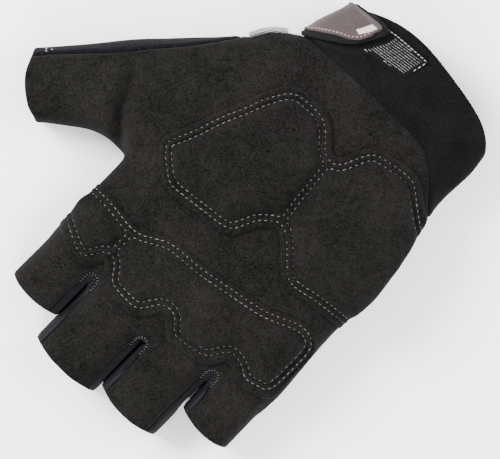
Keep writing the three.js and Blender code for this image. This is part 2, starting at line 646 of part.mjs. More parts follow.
addPiece("palm_panel", palmPanel(), "suede");
addPiece("back_panel", backPanel(), "knit");
addPiece("thumb_back", thumbBack(), "terry");
addPiece("cuff", cuffBand(), "neoprene");
CROTCHES.forEach((c, k) => addPiece("gusset_" + c.name, gusset(k), "gusset"));
addPiece("heel_overlay", overlay(HEEL_OVERLAY, 60, [THENAR_CELL, HYPOTHENAR_CELL], HEEL_PAD_RISE), "suede");
addPiece("knuckle_overlay",
  overlay(KNUCKLE_OVERLAY, 64, [METACARPAL_CELL, INDEX_CELL], KNUCKLE_PAD_RISE), "suede");
addPiece("closure_strap", closureStrap(), "strap");
addPiece("tab_face", tabFace(), "moulded");
addPiece("tab_inlay", tabInlay(), "inlay");
addPiece("hook_patch", hookPatch(), "hook");

export default glove;
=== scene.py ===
# %% [markdown]
# # A half-finger cycling glove, palm up
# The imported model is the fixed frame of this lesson: it says where each piece lies and how big it is.
# Blender dresses it. The cloth pieces are modelled again with fine surfaces, and each one replaces
# the plain solid of the same name. Lengths are worked out in millimetres and set in metres.

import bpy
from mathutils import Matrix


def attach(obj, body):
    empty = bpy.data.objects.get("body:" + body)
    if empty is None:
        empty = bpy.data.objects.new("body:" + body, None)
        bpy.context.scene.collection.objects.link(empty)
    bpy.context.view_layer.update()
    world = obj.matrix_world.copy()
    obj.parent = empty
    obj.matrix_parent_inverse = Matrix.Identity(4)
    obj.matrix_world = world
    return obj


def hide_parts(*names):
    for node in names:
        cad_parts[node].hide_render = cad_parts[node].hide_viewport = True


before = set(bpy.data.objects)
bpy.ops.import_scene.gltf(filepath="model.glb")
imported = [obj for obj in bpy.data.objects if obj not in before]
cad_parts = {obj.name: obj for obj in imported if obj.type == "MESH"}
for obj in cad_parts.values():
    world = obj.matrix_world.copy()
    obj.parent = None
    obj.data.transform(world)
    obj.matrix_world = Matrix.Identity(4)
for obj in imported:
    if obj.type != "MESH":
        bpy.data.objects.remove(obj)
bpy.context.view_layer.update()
print("nodes:", ", ".join(sorted(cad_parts)))

# %% Tools of the lesson
import math

import bmesh
import bpy
import numpy as np
from mathutils import Matrix, Vector
from mathutils.bvhtree import BVHTree
from mathutils.kdtree import KDTree

MM = 0.001
bpy.ops.object.select_all(action="DESELECT")
print("Blender", bpy.app.version_string)

# %% [markdown]
# ## The hand form
# A lying glove is a soft bag with the hollow of a hand. Its palm, thumb and four fingers are tubes
# with oval sections, so each tube is a short table of sections with smooth rows between them. The
# back of each oval is pressed flat, because the cloth rests on the floor there.

# %% Sizes of the form, in millimetres
PALM_LENGTH = 132
PALM_HEIGHT = 27
FINGER_HEIGHT = 18
THUMB_HEIGHT = 19
THUMB_REACH = 51
KNUCKLE_WIDTH = 100.5
KNUCKLE_Y = PALM_LENGTH / 3
WRIST_LIFT = 2.6
FINGER_GAP = 2.3  # wide enough for the remesh, closed up again afterwards
WIDEST = 0.43
ROUND_TOP = 2.5
ROUND_BACK = 3.0
SINK = 1.6
BOW_SHAPE = 2.6
print("knuckle line at y =", KNUCKLE_Y)

# %% Sections of the palm and the thumb
# ulnar, thumbward: shares of the knuckle width; y: of the palm's length; top: of its height
PALM_ROWS = [
    # ulnar, thumbward, y, top, lift, bow
    (-0.422, 0.291, -0.565, 0.74, 1, -0.1),
    (-0.432, 0.318, -0.51, 0.76, 1, -0.035),
    (-0.43, 0.34, -0.455, 0.81, 1, -0.006),
    (-0.426, 0.43, -0.405, 0.88, 0.5, 0),
    (-0.431, 0.478, -0.35, 0.94, 0, 0),
    (-0.452, 0.5, -0.267, 0.99, 0, 0),
    (-0.476, 0.51, -0.16, 1, 0, 0),
    (-0.488, 0.51, -0.053, 1, 0, 0),
    (-0.48, 0.502, 0.06, 0.97, 0, 0),
    (-0.484, 0.496, 0.15, 0.93, 0, 0),
    (-0.495, 0.496, 0.25, 0.87, 0, 0),
    (-0.5, 0.498, 0.335, 0.77, 0, 0),
    (-0.494, 0.494, 0.474, 0.525, 0, 0),
]
# both ends of each section over the plan, as shares of the thumb's reach and the palm's length
THUMB_ROWS = [
    # in x, in y, out x, out y, top, bow
    (-0.7, 0.05, -0.42, -0.38, 1.2, 0),
    (-0.16, 0.1, -0.055, -0.345, 1.28, 0),
    (0.03, 0.124, 0.155, -0.272, 1.26, 0),
    (0.16, 0.124, 0.366, -0.188, 1.18, 0),
    (0.307, 0.142, 0.541, -0.118, 1.1, 0.01),
    (0.463, 0.183, 0.74, -0.025, 1.03, 0.04),
    (0.585, 0.218, 0.965, 0.074, 1, 0.1),
]
print(len(PALM_ROWS), "sections of the palm and", len(THUMB_ROWS), "of the thumb")

# %% Sections of the fingers
# name, width, reach past the knuckle line, bow of the hem
FINGERS = [
    ("little", 22.1, 22.5, 2.4),
    ("ring", 25.8, 37.2, 2.9),
    ("middle", 28.0, 41.4, 2.5),
    ("index", 22.2, 31.0, 2.2),
]
SEWN_GAP = 0.8  # between two stalls on the finished glove
# along, width, height and bow of a finger stall, as shares
FINGER_ROWS = [(0, 0.96, 0.9, 0), (0.42, 0.965, 1, 0.1), (0.72, 0.98, 0.98, 0.5), (1, 1, 0.96, 1)]
ROOT_REACH = 0.8
PAST_HEM = 5.0  # the tubes run past their hems and are trimmed later
print("stalls:", ", ".join(f"{name} {width} mm wide" for name, width, reach, bow in FINGERS))

# %% Smooth rows
def smooth_rows(rows, steps):
    """Adds steps rows between each two rows of a table, on a curve through them."""
    rows = np.array(rows, float)
    last = len(rows) - 1
    t = np.linspace(0, last, last * steps + 1)
    i = np.minimum(t.astype(int), last - 1)
    f = (t - i)[:, None]
    p0, p1, p2, p3 = (rows[np.clip(i + k, 0, last)] for k in (-1, 0, 1, 2))
    slope1, slope2 = (p2 - p0) / 2, (p3 - p1) / 2
    bend = 3 * (p2 - p1) - 2 * slope1 - slope2
    turn = 2 * (p1 - p2) + slope1 + slope2
    return p1 + f * (slope1 + f * (bend + f * turn))


print("rows of a stall:", len(FINGER_ROWS), "become", len(smooth_rows(FINGER_ROWS, 8)))

# %% Oval sections and tubes
def oval(row, angle, out=0.0):
    """Points of the sections: row holds ax, ay, bx, by, top, base, bow, dx, dy in columns."""
    ax, ay, bx, by, top, base, bow, dx, dy = row
    base = np.maximum(base, 0)
    c, s = np.cos(angle), np.sin(angle)
    power = np.where(s >= 0, 2 / ROUND_TOP, 2 / ROUND_BACK)
    half = np.hypot(bx - ax, by - ay) / 2
    reach = np.sign(c) * np.abs(c) ** power * (half + out) / half
    rise = np.abs(s) ** power
    middle = base + WIDEST * (top - base)
    bowed = bow * (1 - np.abs(reach) ** BOW_SHAPE)
    x = (ax + bx) / 2 + (bx - ax) / 2 * reach + dx * bowed
    y = (ay + by) / 2 + (by - ay) / 2 * reach + dy * bowed
    upper = middle + (top + out - middle) * rise
    lower = np.maximum(base - out, middle - (middle - base + SINK + out) * rise)
    return np.stack([x, y, np.where(s >= 0, upper, lower)], axis=-1)


def tube(rows, sides, open_end=0.0):
    """A closed tube through the sections, run on past its last one by open_end."""
    if open_end:
        step = (rows[-1, :2] + rows[-1, 2:4] - rows[-2, :2] - rows[-2, 2:4]) / 2
        step *= open_end / np.hypot(*step)
        past = rows[-1].copy()
        past[:4] += np.tile(step, 2)
        rows = np.vstack([rows, past])
    angle = np.arange(sides) * 2 * math.pi / sides
    rings = oval(rows.T[:, :, None], angle[None, :])
    n = len(rows)
    points = rings.reshape(-1, 3)
    grid = np.arange(n * sides).reshape(n, sides)
    nxt = np.roll(grid, -1, axis=1)
    quads = np.stack([grid[:-1], grid[1:], nxt[1:], nxt[:-1]], axis=-1).reshape(-1, 4).tolist()
    caps = [grid[0].tolist(), grid[-1][::-1].tolist()]
    return points, quads + caps


# %% Rows of the palm, the thumb and the fingers
def palm_columns(rows):
    """The palm's shares as lengths, in the columns that oval reads."""
    u, t, y, top, lift, bow = np.array(rows, float).T
    y = y * PALM_LENGTH
    one = np.ones_like(y)
    return np.stack([u * KNUCKLE_WIDTH, y, t * KNUCKLE_WIDTH, y, top * PALM_HEIGHT,
                     lift * WRIST_LIFT, bow * PALM_LENGTH, 0 * one, one], axis=1)


def thumb_columns(rows):
    """The same for the thumb, whose sections lie askew in the plan."""
    ix, iy, ox, oy, top, bow = np.array(rows, float).T
    side = KNUCKLE_WIDTH / 2
    ax, bx = side + ix * THUMB_REACH, side + ox * THUMB_REACH
    ay, by = iy * PALM_LENGTH, oy * PALM_LENGTH
    chord = np.hypot(bx - ax, by - ay)
    return np.stack([ax, ay, bx, by, top * THUMB_HEIGHT, 0 * ax, bow * THUMB_REACH,
                     (ay - by) / chord, (bx - ax) / chord], axis=1)


finger_sides = []
edge = -KNUCKLE_WIDTH / 2
for name, width, reach, bow in FINGERS:
    finger_sides.append((edge, edge + width))
    edge += width + SEWN_GAP
slot_x = [(finger_sides[k][1] + finger_sides[k + 1][0]) / 2 for k in range(3)]


def finger_columns(k):
    """The same for one stall, narrowed so that the remesh keeps it apart from the next."""
    name, width, reach, bow = FINGERS[k]
    middle = sum(finger_sides[k]) / 2
    root, hem = KNUCKLE_Y - ROOT_REACH * width, KNUCKLE_Y + reach
    narrowed = width - (FINGER_GAP - SEWN_GAP)
    return np.array([
        (middle - wide * narrowed / 2, root + along * (hem - root),
         middle + wide * narrowed / 2, root + along * (hem - root),
         tall * FINGER_HEIGHT, 0, bowed * bow, 0, 1)
        for along, wide, tall, bowed in FINGER_ROWS])


palm_table = palm_columns(PALM_ROWS)
print("finger sides:", [(round(a, 1), round(b, 1)) for a, b in finger_sides])

# %% Short ways to make and change a mesh
def object_from(name, points, faces):
    """A new mesh object whose points are given in millimetres."""
    mesh = bpy.data.meshes.new(name)
    mesh.from_pydata((np.asarray(points) * MM).tolist(), [], faces)
    mesh.update()
    thing = bpy.data.objects.new(name, mesh)
    bpy.context.scene.collection.objects.link(thing)
    return thing


def points_of(thing):
    """The object's points in millimetres."""
    flat = np.empty(len(thing.data.vertices) * 3)
    thing.data.vertices.foreach_get("co", flat)
    return flat.reshape(-1, 3) / MM


def set_points(thing, points):
    """Moves the object's points to places given in millimetres."""
    thing.data.vertices.foreach_set("co", (points * MM).ravel())
    thing.data.update()


def apply_modifier(thing, kind, **settings):
    """Adds one modifier, sets it up and applies it."""
    modifier = thing.modifiers.new(kind.lower(), kind)
    for key, value in settings.items():
        setattr(modifier, key, value)
    with bpy.context.temp_override(object=thing, active_object=thing, selected_objects=[thing]):
        bpy.ops.object.modifier_apply(modifier=modifier.name)


# %% [markdown]
# The tubes overlap, and a voxel remesh joins them into one closed skin with small even faces. Booleans
# could join them too, but they leave hard creases where a thumb runs smoothly into its palm. The webs
# between the fingers need care: the palm's tube ends on a line that dips into each web.

# %% Where the palm's tube ends
PAST_RIM = 9.0  # the palm's tube runs past the rim and sinks a little there
RIM_SINK = 0.25
# between two fingers, and how far past the knuckle line the gusset's seam lies
CROTCHES = [("little_ring", 5.3), ("ring_middle", 14.8), ("middle_index", 11.0)]
WEB = 2.5  # from a gusset's seam to the bottom of its slot
WEB_MORE = (0, 1.0, 0)  # the deepest slot keeps a little more of its web
web_ends = [(slot_x[k], KNUCKLE_Y + CROTCHES[k][1] + WEB_MORE[k] + WEB) for k in range(3)]
WEB_LINE = [(-60, 48.5), *web_ends, (60, 56.0)]
print("webs end at y =", [round(y, 1) for x, y in web_ends])

# %% The palm's tube
fine_palm = smooth_rows(palm_table, 8)
past_rim = fine_palm[0].copy()
past_rim[[1, 3]] -= PAST_RIM
past_rim[2] -= RIM_SINK * PAST_RIM
palm_points, palm_faces = tube(np.vstack([past_rim, fine_palm]), 128)
web_y = np.interp(palm_points[:, 0], *zip(*WEB_LINE))
start, stop = palm_table[-3, 1], palm_table[-1, 1]
share = np.clip((palm_points[:, 1] - start) / (stop - start), 0, 1)
palm_points[:, 1] += share**2 * (web_y - stop)
print("palm's tube:", len(palm_points), "points")

# %% One skin for the whole hand
VOXEL = 0.7
parts = [(palm_points, palm_faces)]
parts.append(tube(smooth_rows(thumb_columns(THUMB_ROWS), 8), 96, PAST_HEM))
for k in range(4):
    past = PAST_HEM + max(f[2] for f in FINGERS) - FINGERS[k][2]  # the tubes all end in one line
    parts.append(tube(smooth_rows(finger_columns(k), 8), 96, past))
all_points, all_faces = [], []
for points, faces in parts:
    start = sum(len(p) for p in all_points)
    all_points.append(points)
    all_faces += [[start + v for v in face] for face in faces]
form = object_from("hand_form", np.vstack(all_points), all_faces)
apply_modifier(form, "REMESH", mode="VOXEL", voxel_size=VOXEL * MM, adaptivity=0)
print("hand form:", len(form.data.polygons), "faces")

# %% [markdown]
# A remeshed skin is stepped, so its points are relaxed towards their neighbours. The same rounds
# soften the joins of the tubes, as stretched cloth does at the root of a thumb.

# %% Relax the skin
def edges_of(thing):
    """The two ends of every edge."""
    flat = np.empty(len(thing.data.edges) * 2, np.int64)
    thing.data.edges.foreach_get("vertices", flat)
    return flat.reshape(-1, 2)


def relaxed(points, edges, rounds, share=0.6, moving=None):
    """Each round moves every point a share of the way to the middle of its neighbours."""
    count = np.bincount(edges.ravel(), minlength=len(points))[:, None]
    share = share if moving is None else share * moving[:, None]
    for _ in range(rounds):
        total = np.stack([
            np.bincount(edges[:, 0], points[edges[:, 1], k], len(points))
            + np.bincount(edges[:, 1], points[edges[:, 0], k], len(points)) for k in range(3)], axis=1)
        points = points + share * (total / count - points)
    return points


def fade(value, low, high):
    """0 up to low and 1 from high on, with a smooth climb between them."""
    t = np.clip((value - low) / (high - low), 0, 1)
    return t * t * (3 - 2 * t)


FLAT_BELOW = 0.35  # what lies lower than this rests on the floor
skin = relaxed(points_of(form), edges_of(form), 14)
skin[:, 2] = np.where(skin[:, 2] < FLAT_BELOW, 0, skin[:, 2])
print("relaxed:", len(skin), "points")

# %% [markdown]
# Folds are pushed into the skin next. The thumb bends over the palm, which leaves one deep fold at
# its root with a soft roll beside it, and the stalls and the palm get the shallow waves of worn cloth.

# %% Folds and waves
FOLDS = [
    # from x, y, to x, y, width, depth at the start, depth at the end
    (51.5, 18.5, 63.6, 4.8, 3.6, 4.0, 3.4),
    (63.6, 4.8, 66.6, -2.5, 3.3, 3.4, 2.0),
    (66.6, -2.5, 68.4, -11.5, 2.8, 2.0, 0.0),
    (55, 14, 63.6, 4.8, 1.5, 1.2, 1.7),
    (63.6, 4.8, 67.2, -5.5, 1.5, 1.7, 0.6),
    (49.5, 22, 54, 4, 4.2, -1.1, -0.5),
    (40, 26, 49, 14, 6.0, 1.2, 0.5),
    (58, -8, 66, -22, 5.0, 0.5, 0.2),
    (-46, -20, -36, -24, 2.6, 0.35, 0.0),
    (-46, -27, -37, -30, 2.4, 0.35, 0.0),
    (-46, -8, -40, -8, 3.0, 0.3, 0.0),
]
WAVES = [
    # length in mm, direction in degrees, height in mm, phase
    (41, 12, 0.30, 0.3), (27, 71, 0.22, 1.1), (19, 128, 0.14, 2.2), (13, 40, 0.08, 0.7),
]
print(len(FOLDS), "folds and", len(WAVES), "waves")

# %% How deep a fold is and how high a wave
def fold_depth(points):
    """Rolls add up, but where folds overlap only the deepest one counts."""
    rolls, broad, sharp = np.zeros((3, len(points)))
    for x1, y1, x2, y2, width, first, last in FOLDS:
        run = np.array([x2 - x1, y2 - y1])
        t = np.clip((points[:, :2] - (x1, y1)) @ run / (run @ run), 0, 1)
        away = np.hypot(*(points[:, :2] - (x1, y1) - t[:, None] * run).T)
        here = (first + (last - first) * t) * np.exp(-((away / width) ** 2))
        if first < 0:
            rolls += here
        elif width < 2:
            sharp = np.maximum(sharp, here)
        else:
            broad = np.maximum(broad, here)
    return rolls + broad + sharp


def wave_height(points, waves):
    """Broad shallow waves over the plan, from a table of them."""
    height = np.zeros(len(points))
    for length, turn, rise, phase in waves:
        way = np.array([math.cos(math.radians(turn)), math.sin(math.radians(turn))])
        height += rise * np.sin(points[:, :2] @ way * 2 * math.pi / length + phase)
    return height


upper = fade(skin[:, 2], 8, 14) * (0.25 + 0.75 * fade(skin[:, 1], -62, -50))
folds = fold_depth(skin)
skin[:, 2] += upper * (wave_height(skin, WAVES) - folds)
set_points(form, skin)
print("deepest fold:", round(folds.max(), 1), "mm")

# %% [markdown]
# ## Cutting the skin into pieces of cloth
# A pattern cutter's lines divide the skin: the side seam, the cuff's seam, the thumb's seam and the
# gussets. Each line is a signed distance, which is zero on the line. Faces that it crosses are split
# there, so that every piece gets a clean edge.

# %% Lines in the plan
def smooth_line(points, closed=False, step=0.8):
    """Even points along a curve through the given ones."""
    p = np.array(points, float)
    if closed:
        p = np.vstack([p[-1], p, p[0], p[1]])
    else:
        p = np.vstack([2 * p[0] - p[1], p, 2 * p[-1] - p[-2]])
    rows = smooth_rows(p, 12)[12:-12]
    run = np.concatenate([[0], np.cumsum(np.hypot(*np.diff(rows, axis=0).T))])
    at = np.linspace(0, run[-1], max(int(run[-1] / step), 2) + 1)
    return np.stack([np.interp(at, run, rows[:, 0]), np.interp(at, run, rows[:, 1])], axis=1)


def side_of(line, points):
    """Signed distance over the plan, positive to the left of the line's run."""
    start, run = line[:-1], np.diff(line, axis=0)
    square = (run**2).sum(axis=1)
    found = np.empty(len(points))
    for k in range(0, len(points), 8192):
        gap = points[k:k + 8192, None, :2] - start
        t = np.clip((gap * run).sum(axis=2) / square, 0, 1)
        away = gap - t[:, :, None] * run
        far = (away**2).sum(axis=2)
        j = far.argmin(axis=1)
        i = np.arange(len(j))
        turn = run[j, 0] * away[i, j, 1] - run[j, 1] * away[i, j, 0]
        found[k:k + 8192] = np.sqrt(far[i, j]) * np.sign(turn)
    return found


# %% The cutter's lines, in millimetres
SIDE_LEVEL = 8.5
CUFF_SEAM = [
    (-60, -34), (-50, -40), (-42.5, -45), (-35, -52.8), (-30, -57.6), (-25, -60.3), (-15, -61.2),
    (0, -61.3), (20, -60.4), (37, -59.3), (50, -57.5), (60, -56),
]
CUFF_BACK_SEAM = [(-60, -38), (-42, -46), (-30, -56), (-12, -59.6), (20, -60), (36, -59.6), (60, -58)]
THUMB_SEAM = [
    (48.5, -53), (50, -47), (51.4, -42), (60, -29.9), (65, -23.8), (70, -18), (75, -12), (80, -6.2),
    (85, -1.2), (90, 4), (95, 9.2), (98.5, 13.2), (103, 18), (108, 23),
]
THUMB_BACK_EDGE = [(50, -52), (42, -40), (44, 3), (50, 20), (58, 38)]
HEM_LINE = [
    (78, 35), (81, 31.5), (84, 29.9), (87, 29.0), (90, 27), (94, 23.8), (97, 20.2), (98.7, 16.7),
    (100.2, 13.4), (102.4, 10.4), (106, 6),
]
RIM_LINE = [
    (-47, -71.5), (-44, -73.5), (-41, -76.6), (-38, -79.2), (-33, -81.8), (-25, -84), (-15, -85.7),
    (-5, -87.1), (2, -87.5), (8, -87.1), (14, -85.9), (20, -83.8), (25, -81.6), (29, -79),
    (33, -76), (37, -73),
]
THUMB_FROM = 72  # the thumb's hem is cut past this x, and the rim below this y
WRIST_TO = -66
GUSSET_HALF = 3.1
GUSSET_TIP = 2.2
GUSSET_FOOT = 4.5
FAR_AWAY = 9.0
cuff_seam = smooth_line(CUFF_SEAM)
cuff_back_seam = smooth_line(CUFF_BACK_SEAM)
thumb_seam = smooth_line(THUMB_SEAM)
thumb_back_edge = smooth_line(THUMB_BACK_EDGE)
thumb_hem = smooth_line(HEM_LINE)
rim_line = smooth_line(RIM_LINE)
print("seam points:", len(cuff_seam), "at the cuff,", len(thumb_seam), "at the thumb")

# %% Where the hems, the rim and the sides are
def side_field(p):
    """Above or below the side seam, which climbs where the back wraps over at the thumb's root."""
    climb = 1.0 * np.exp(-(((p[:, 0] - 44) / 7) ** 2) - ((p[:, 1] + 53) / 7) ** 2)
    return p[:, 2] - SIDE_LEVEL - climb


def open_field(p):
    """Positive past a hem or the rim, where the tubes are cut open."""
    past = np.full(len(p), -FAR_AWAY)
    stalls = (p[:, 1] > KNUCKLE_Y + 10) & (p[:, 0] < KNUCKLE_WIDTH / 2 + 1.5)
    for k, (name, width, reach, bow) in enumerate(FINGERS):
        left, right = finger_sides[k]
        mine = stalls & (p[:, 0] > left - SEWN_GAP / 2) & (p[:, 0] <= right + SEWN_GAP / 2)
        mine |= stalls & (k == 0) & (p[:, 0] <= left)
        mine |= stalls & (k == 3) & (p[:, 0] > right)
        across = np.clip(np.abs(2 * p[mine, 0] - left - right) / width, 0, 1)
        past[mine] = p[mine, 1] - KNUCKLE_Y - reach - bow * (1 - across**BOW_SHAPE)
    thumb = p[:, 0] > THUMB_FROM
    past[thumb] = side_of(thumb_hem, p[thumb])
    wrist = p[:, 1] < WRIST_TO
    past[wrist] = -side_of(rim_line, p[wrist])
    return past


print("past the hems and the rim:", int((open_field(skin) > 0).sum()), "points")

# %% Where the gussets, the cuff and the thumb's terry are
def gusset_field(p, k):
    """Positive inside the gusset's outline, which ends in a narrow round foot."""
    foot = KNUCKLE_Y + CROTCHES[k][1]
    half = GUSSET_TIP + (GUSSET_HALF - GUSSET_TIP) * fade(p[:, 1], foot + 2, foot + 12)
    sides = half - np.abs(p[:, 0] - slot_x[k])
    tip = GUSSET_TIP - np.hypot(p[:, 0] - slot_x[k], p[:, 1] - foot - GUSSET_TIP)
    return np.where(p[:, 1] < foot + GUSSET_TIP, tip, sides)


def cuff_front(p):
    """Positive on the cuff, past its seam on the palm's side."""
    return -side_of(cuff_seam, p)


def cuff_back(p):
    """Positive on the cuff, past its seam on the back."""
    return -side_of(cuff_back_seam, p)


def thumb_front(p):
    """Positive on the thumb's outer edge, past its seam."""
    out = np.full(len(p), -FAR_AWAY)
    near = (p[:, 0] > 40) & (p[:, 1] < 32)
    out[near] = -side_of(thumb_seam, p[near])
    return out


def thumb_under(p):
    """Positive under the thumb, where the terry meets the back's knit."""
    out = np.full(len(p), -FAR_AWAY)
    near = p[:, 0] > 36
    out[near] = -side_of(thumb_back_edge, p[near])
    return out


print("inside the gussets:", [int((gusset_field(skin, k) > 0).sum()) for k in range(3)], "points")

# %% Split the skin along the lines
SNAP = 0.12  # a point closer than this to a line counts as on it


def split_along(body, field, where=None):
    """Splits the faces of a bmesh that field = 0 crosses, where the points allow it."""
    points = np.array([v.co for v in body.verts])
    value = field(points)
    value[np.abs(value) < SNAP] = 0
    allowed = np.ones(len(points), bool) if where is None else where(points)
    ends = np.array([[v.index for v in e.verts] for e in body.edges])
    crossed = (value[ends].prod(axis=1) < 0) & allowed[ends].all(axis=1)
    body.edges.ensure_lookup_table()
    body.verts.ensure_lookup_table()
    on_line = [body.verts[i] for i in np.flatnonzero((value == 0) & allowed)]
    for i in np.flatnonzero(crossed):
        edge = body.edges[i]
        a, b = value[ends[i]]
        on_line.append((edge, edge.verts[0], a / (a - b)))
    fresh = [bmesh.utils.edge_split(*item)[1] if isinstance(item, tuple) else item for item in on_line]
    bmesh.ops.connect_verts(body, verts=fresh)
    body.verts.index_update()
    body.edges.index_update()
    body.faces.index_update()


def face_middles(body):
    """The middle of every face."""
    return np.array([f.calc_center_median() for f in body.faces])


print("points within", SNAP, "mm count as on a line")

# %% Trim the tubes to their hems
body = bmesh.new()
body.from_mesh(form.data)
bmesh.ops.scale(body, vec=(1 / MM,) * 3, verts=body.verts)
split_along(body, open_field)
middles = face_middles(body)
gone = [f for f, past in zip(body.faces, open_field(middles)) if past > 0]
bmesh.ops.delete(body, geom=gone, context="FACES")
body.verts.index_update()
print("trimmed:", len(gone), "faces past the hems")

# %% Even out the cut edges
MERGE = 0.25
bmesh.ops.remove_doubles(body, verts=[v for v in body.verts if v.is_boundary], dist=MERGE)
body.verts.index_update()
trimmed = np.array([v.co for v in body.verts])
rim = np.array([[v.index for v in e.verts] for e in body.edges if e.is_boundary])
used, rim = np.unique(rim, return_inverse=True)
trimmed[used] = relaxed(trimmed[used], rim.reshape(-1, 2), 8)
print("evened:", len(used), "points on the edges")

# %% [markdown]
# The remesh needs room between two stalls, but on the glove they touch. So what lies near a slot's
# middle is now drawn towards it. The little finger leans away at its hem and leaves a small opening.

# %% Close the stalls up
REACH_IN = 4.0  # what lies nearer than this to a slot's middle is drawn in
WALL_AT = 1.4  # where the walls stand after the remesh, from the middle of the slot
CLOSED_AT = 0.12  # where they stand afterwards
NEAREST = 0.1
LEAN, LEAN_Y, LEAN_LONG = 0.8, 65.0, 4.5
for k, x in enumerate(slot_x):
    away = np.abs(trimmed[:, 0] - x)
    foot = KNUCKLE_Y + CROTCHES[k][1] + WEB
    share = fade(trimmed[:, 1], foot - 2.5, foot + 0.5)
    drawn = REACH_IN - (REACH_IN - away) * (REACH_IN - CLOSED_AT) / (REACH_IN - WALL_AT)
    if k == 0:
        lean = np.exp(-(((trimmed[:, 1] - LEAN_Y) / LEAN_LONG) ** 2))
        drawn += LEAN * lean * (1 - away / REACH_IN)
    drawn = away + share * (np.maximum(drawn, NEAREST) - away)
    trimmed[:, 0] = np.where(away < REACH_IN, x + np.sign(trimmed[:, 0] - x) * drawn, trimmed[:, 0])
for vert, place in zip(body.verts, trimmed):
    vert.co = place
print("slots closed at x =", [round(x, 1) for x in slot_x])

# %% Split along the seams
split_along(body, side_field)
above = lambda p: side_field(p) > -0.01
below = lambda p: side_field(p) < 0.01
for field in (cuff_front, thumb_front):
    split_along(body, field, above)
for field in (cuff_back, thumb_under):
    split_along(body, field, below)
for k in range(3):
    split_along(body, lambda p: gusset_field(p, k))
near_slots = lambda p: np.max([gusset_field(p, k) for k in range(3)], axis=0) > -1
split_along(body, lambda p: p[:, 2] - GUSSET_FOOT, near_slots)
print("cut skin:", len(body.faces), "faces")

# %% Sort the faces into pieces
def sort_faces(p):
    """The name of the piece that each point belongs to."""
    top = side_field(p) > 0
    names = np.where(top, "palm_panel", "back_panel").astype(object)
    names[np.where(top, thumb_front(p), thumb_under(p)) > 0] = "thumb_back"
    names[np.where(top, cuff_front(p), cuff_back(p)) > 0] = "cuff"
    in_stalls = (p[:, 2] > GUSSET_FOOT) & (p[:, 1] > KNUCKLE_Y)
    for k, (gap, depth) in enumerate(CROTCHES):
        names[(gusset_field(p, k) > 0) & in_stalls] = "gusset_" + gap
    return names


piece_of_face = sort_faces(face_middles(body))
body.normal_update()
skin_points = np.array([v.co for v in body.verts])
skin_normals = np.array([v.normal for v in body.verts])
edges = np.array([[v.index for v in e.verts] for e in body.edges])
skin_normals = relaxed(skin_normals, edges, 3)
skin_normals /= np.linalg.norm(skin_normals, axis=1, keepdims=True)
skin_faces = [[v.index for v in f.verts] for f in body.faces]
for name in sorted(set(piece_of_face)):
    print(name, (piece_of_face == name).sum(), "faces")

# %% [markdown]
# ## From faces to sewn cloth
# Each piece leaves the skin as an open sheet. Its edge is rolled down where it is sewn and rounded at
# a hem, and a Solidify modifier gives the sheet its wall, inwards from the face that shows.

# %% Take a piece out of the skin
def boundary_of(faces, count):
    """Marks the points on the open edges of some faces."""
    edges = np.array([sorted((f[i], f[i - 1])) for f in faces for i in range(len(f))])
    pairs, times = np.unique(edges, axis=0, return_counts=True)
    mark = np.zeros(count, bool)
    mark[pairs[times == 1].ravel()] = True
    return mark


def kdtree_of(targets):
    """A tree that finds the nearest of some points."""
    tree = KDTree(len(targets))
    for i, p in enumerate(targets):
        tree.insert(p, i)
    tree.balance()
    return tree


def distance_to(points, targets, reach=6.0):
    """Distance to the nearest target, or reach where none is that near."""
    tree = kdtree_of(targets)
    return np.array([min(tree.find(p)[2], reach) for p in points])


def cut_piece(names):
    """Points, normals and faces of the pieces with these names, numbered afresh."""
    mine = np.flatnonzero(np.isin(piece_of_face, names))
    faces = [skin_faces[i] for i in mine]
    used = np.unique([v for f in faces for v in f])
    new = np.zeros(len(skin_points), int)
    new[used] = np.arange(len(used))
    return skin_points[used], skin_normals[used], [new[f].tolist() for f in faces]


print("the cuff alone:", len(cut_piece(["cuff"])[2]), "faces")

# %% Sew a piece
def sew(name, wall, roll=0.45, welt=0.18, hem_round=0.3):
    """One cloth piece of the glove, with its sewn edges and hems."""
    points, normals, faces = cut_piece([name])
    border = boundary_of(faces, len(points))
    to_hem = -open_field(points)
    sewn = points[border & (to_hem > 0.4)]
    d = distance_to(points, sewn)
    lift = -roll * np.exp(-((d / 0.5) ** 2)) + welt * np.exp(-(((d - 1.7) / 1.0) ** 2))
    lift -= hem_round * np.exp(-((np.clip(to_hem, 0, 9) / 0.5) ** 2))
    lift *= fade(points[:, 2], 0.2, 2.0)
    thing = object_from(name + "_cloth", points + normals * lift[:, None], faces)
    area = sum(f.area for f in thing.data.polygons)
    apply_modifier(thing, "SOLIDIFY", thickness=wall * MM, offset=-1, use_rim=True)
    thing.data.shade_smooth()
    print(name, len(thing.data.polygons), "faces,", round(area * 1e4), "square cm")
    return thing, area


# %% The pieces of cloth, each with its wall in millimetres
palm_panel, palm_area = sew("palm_panel", 1.4)
back_panel, back_area = sew("back_panel", 1.2)
thumb_back, thumb_area = sew("thumb_back", 1.5)
cuff, cuff_area = sew("cuff", 2.2)
gussets = [sew("gusset_" + gap, 1.2) for gap, depth in CROTCHES]

# %% [markdown]
# ## The padded overlays
# Two patches of the same suede lie on the palm with foam under them, one at the heel of the hand and
# one at the knuckles. Twin rows of stitches hold each patch down near its cut edge, and a twin row
# across it divides the foam into two cells. Each row is a line in the plan, so one signed distance
# shapes everything: the cells, the channels between the rows and the cut edge.

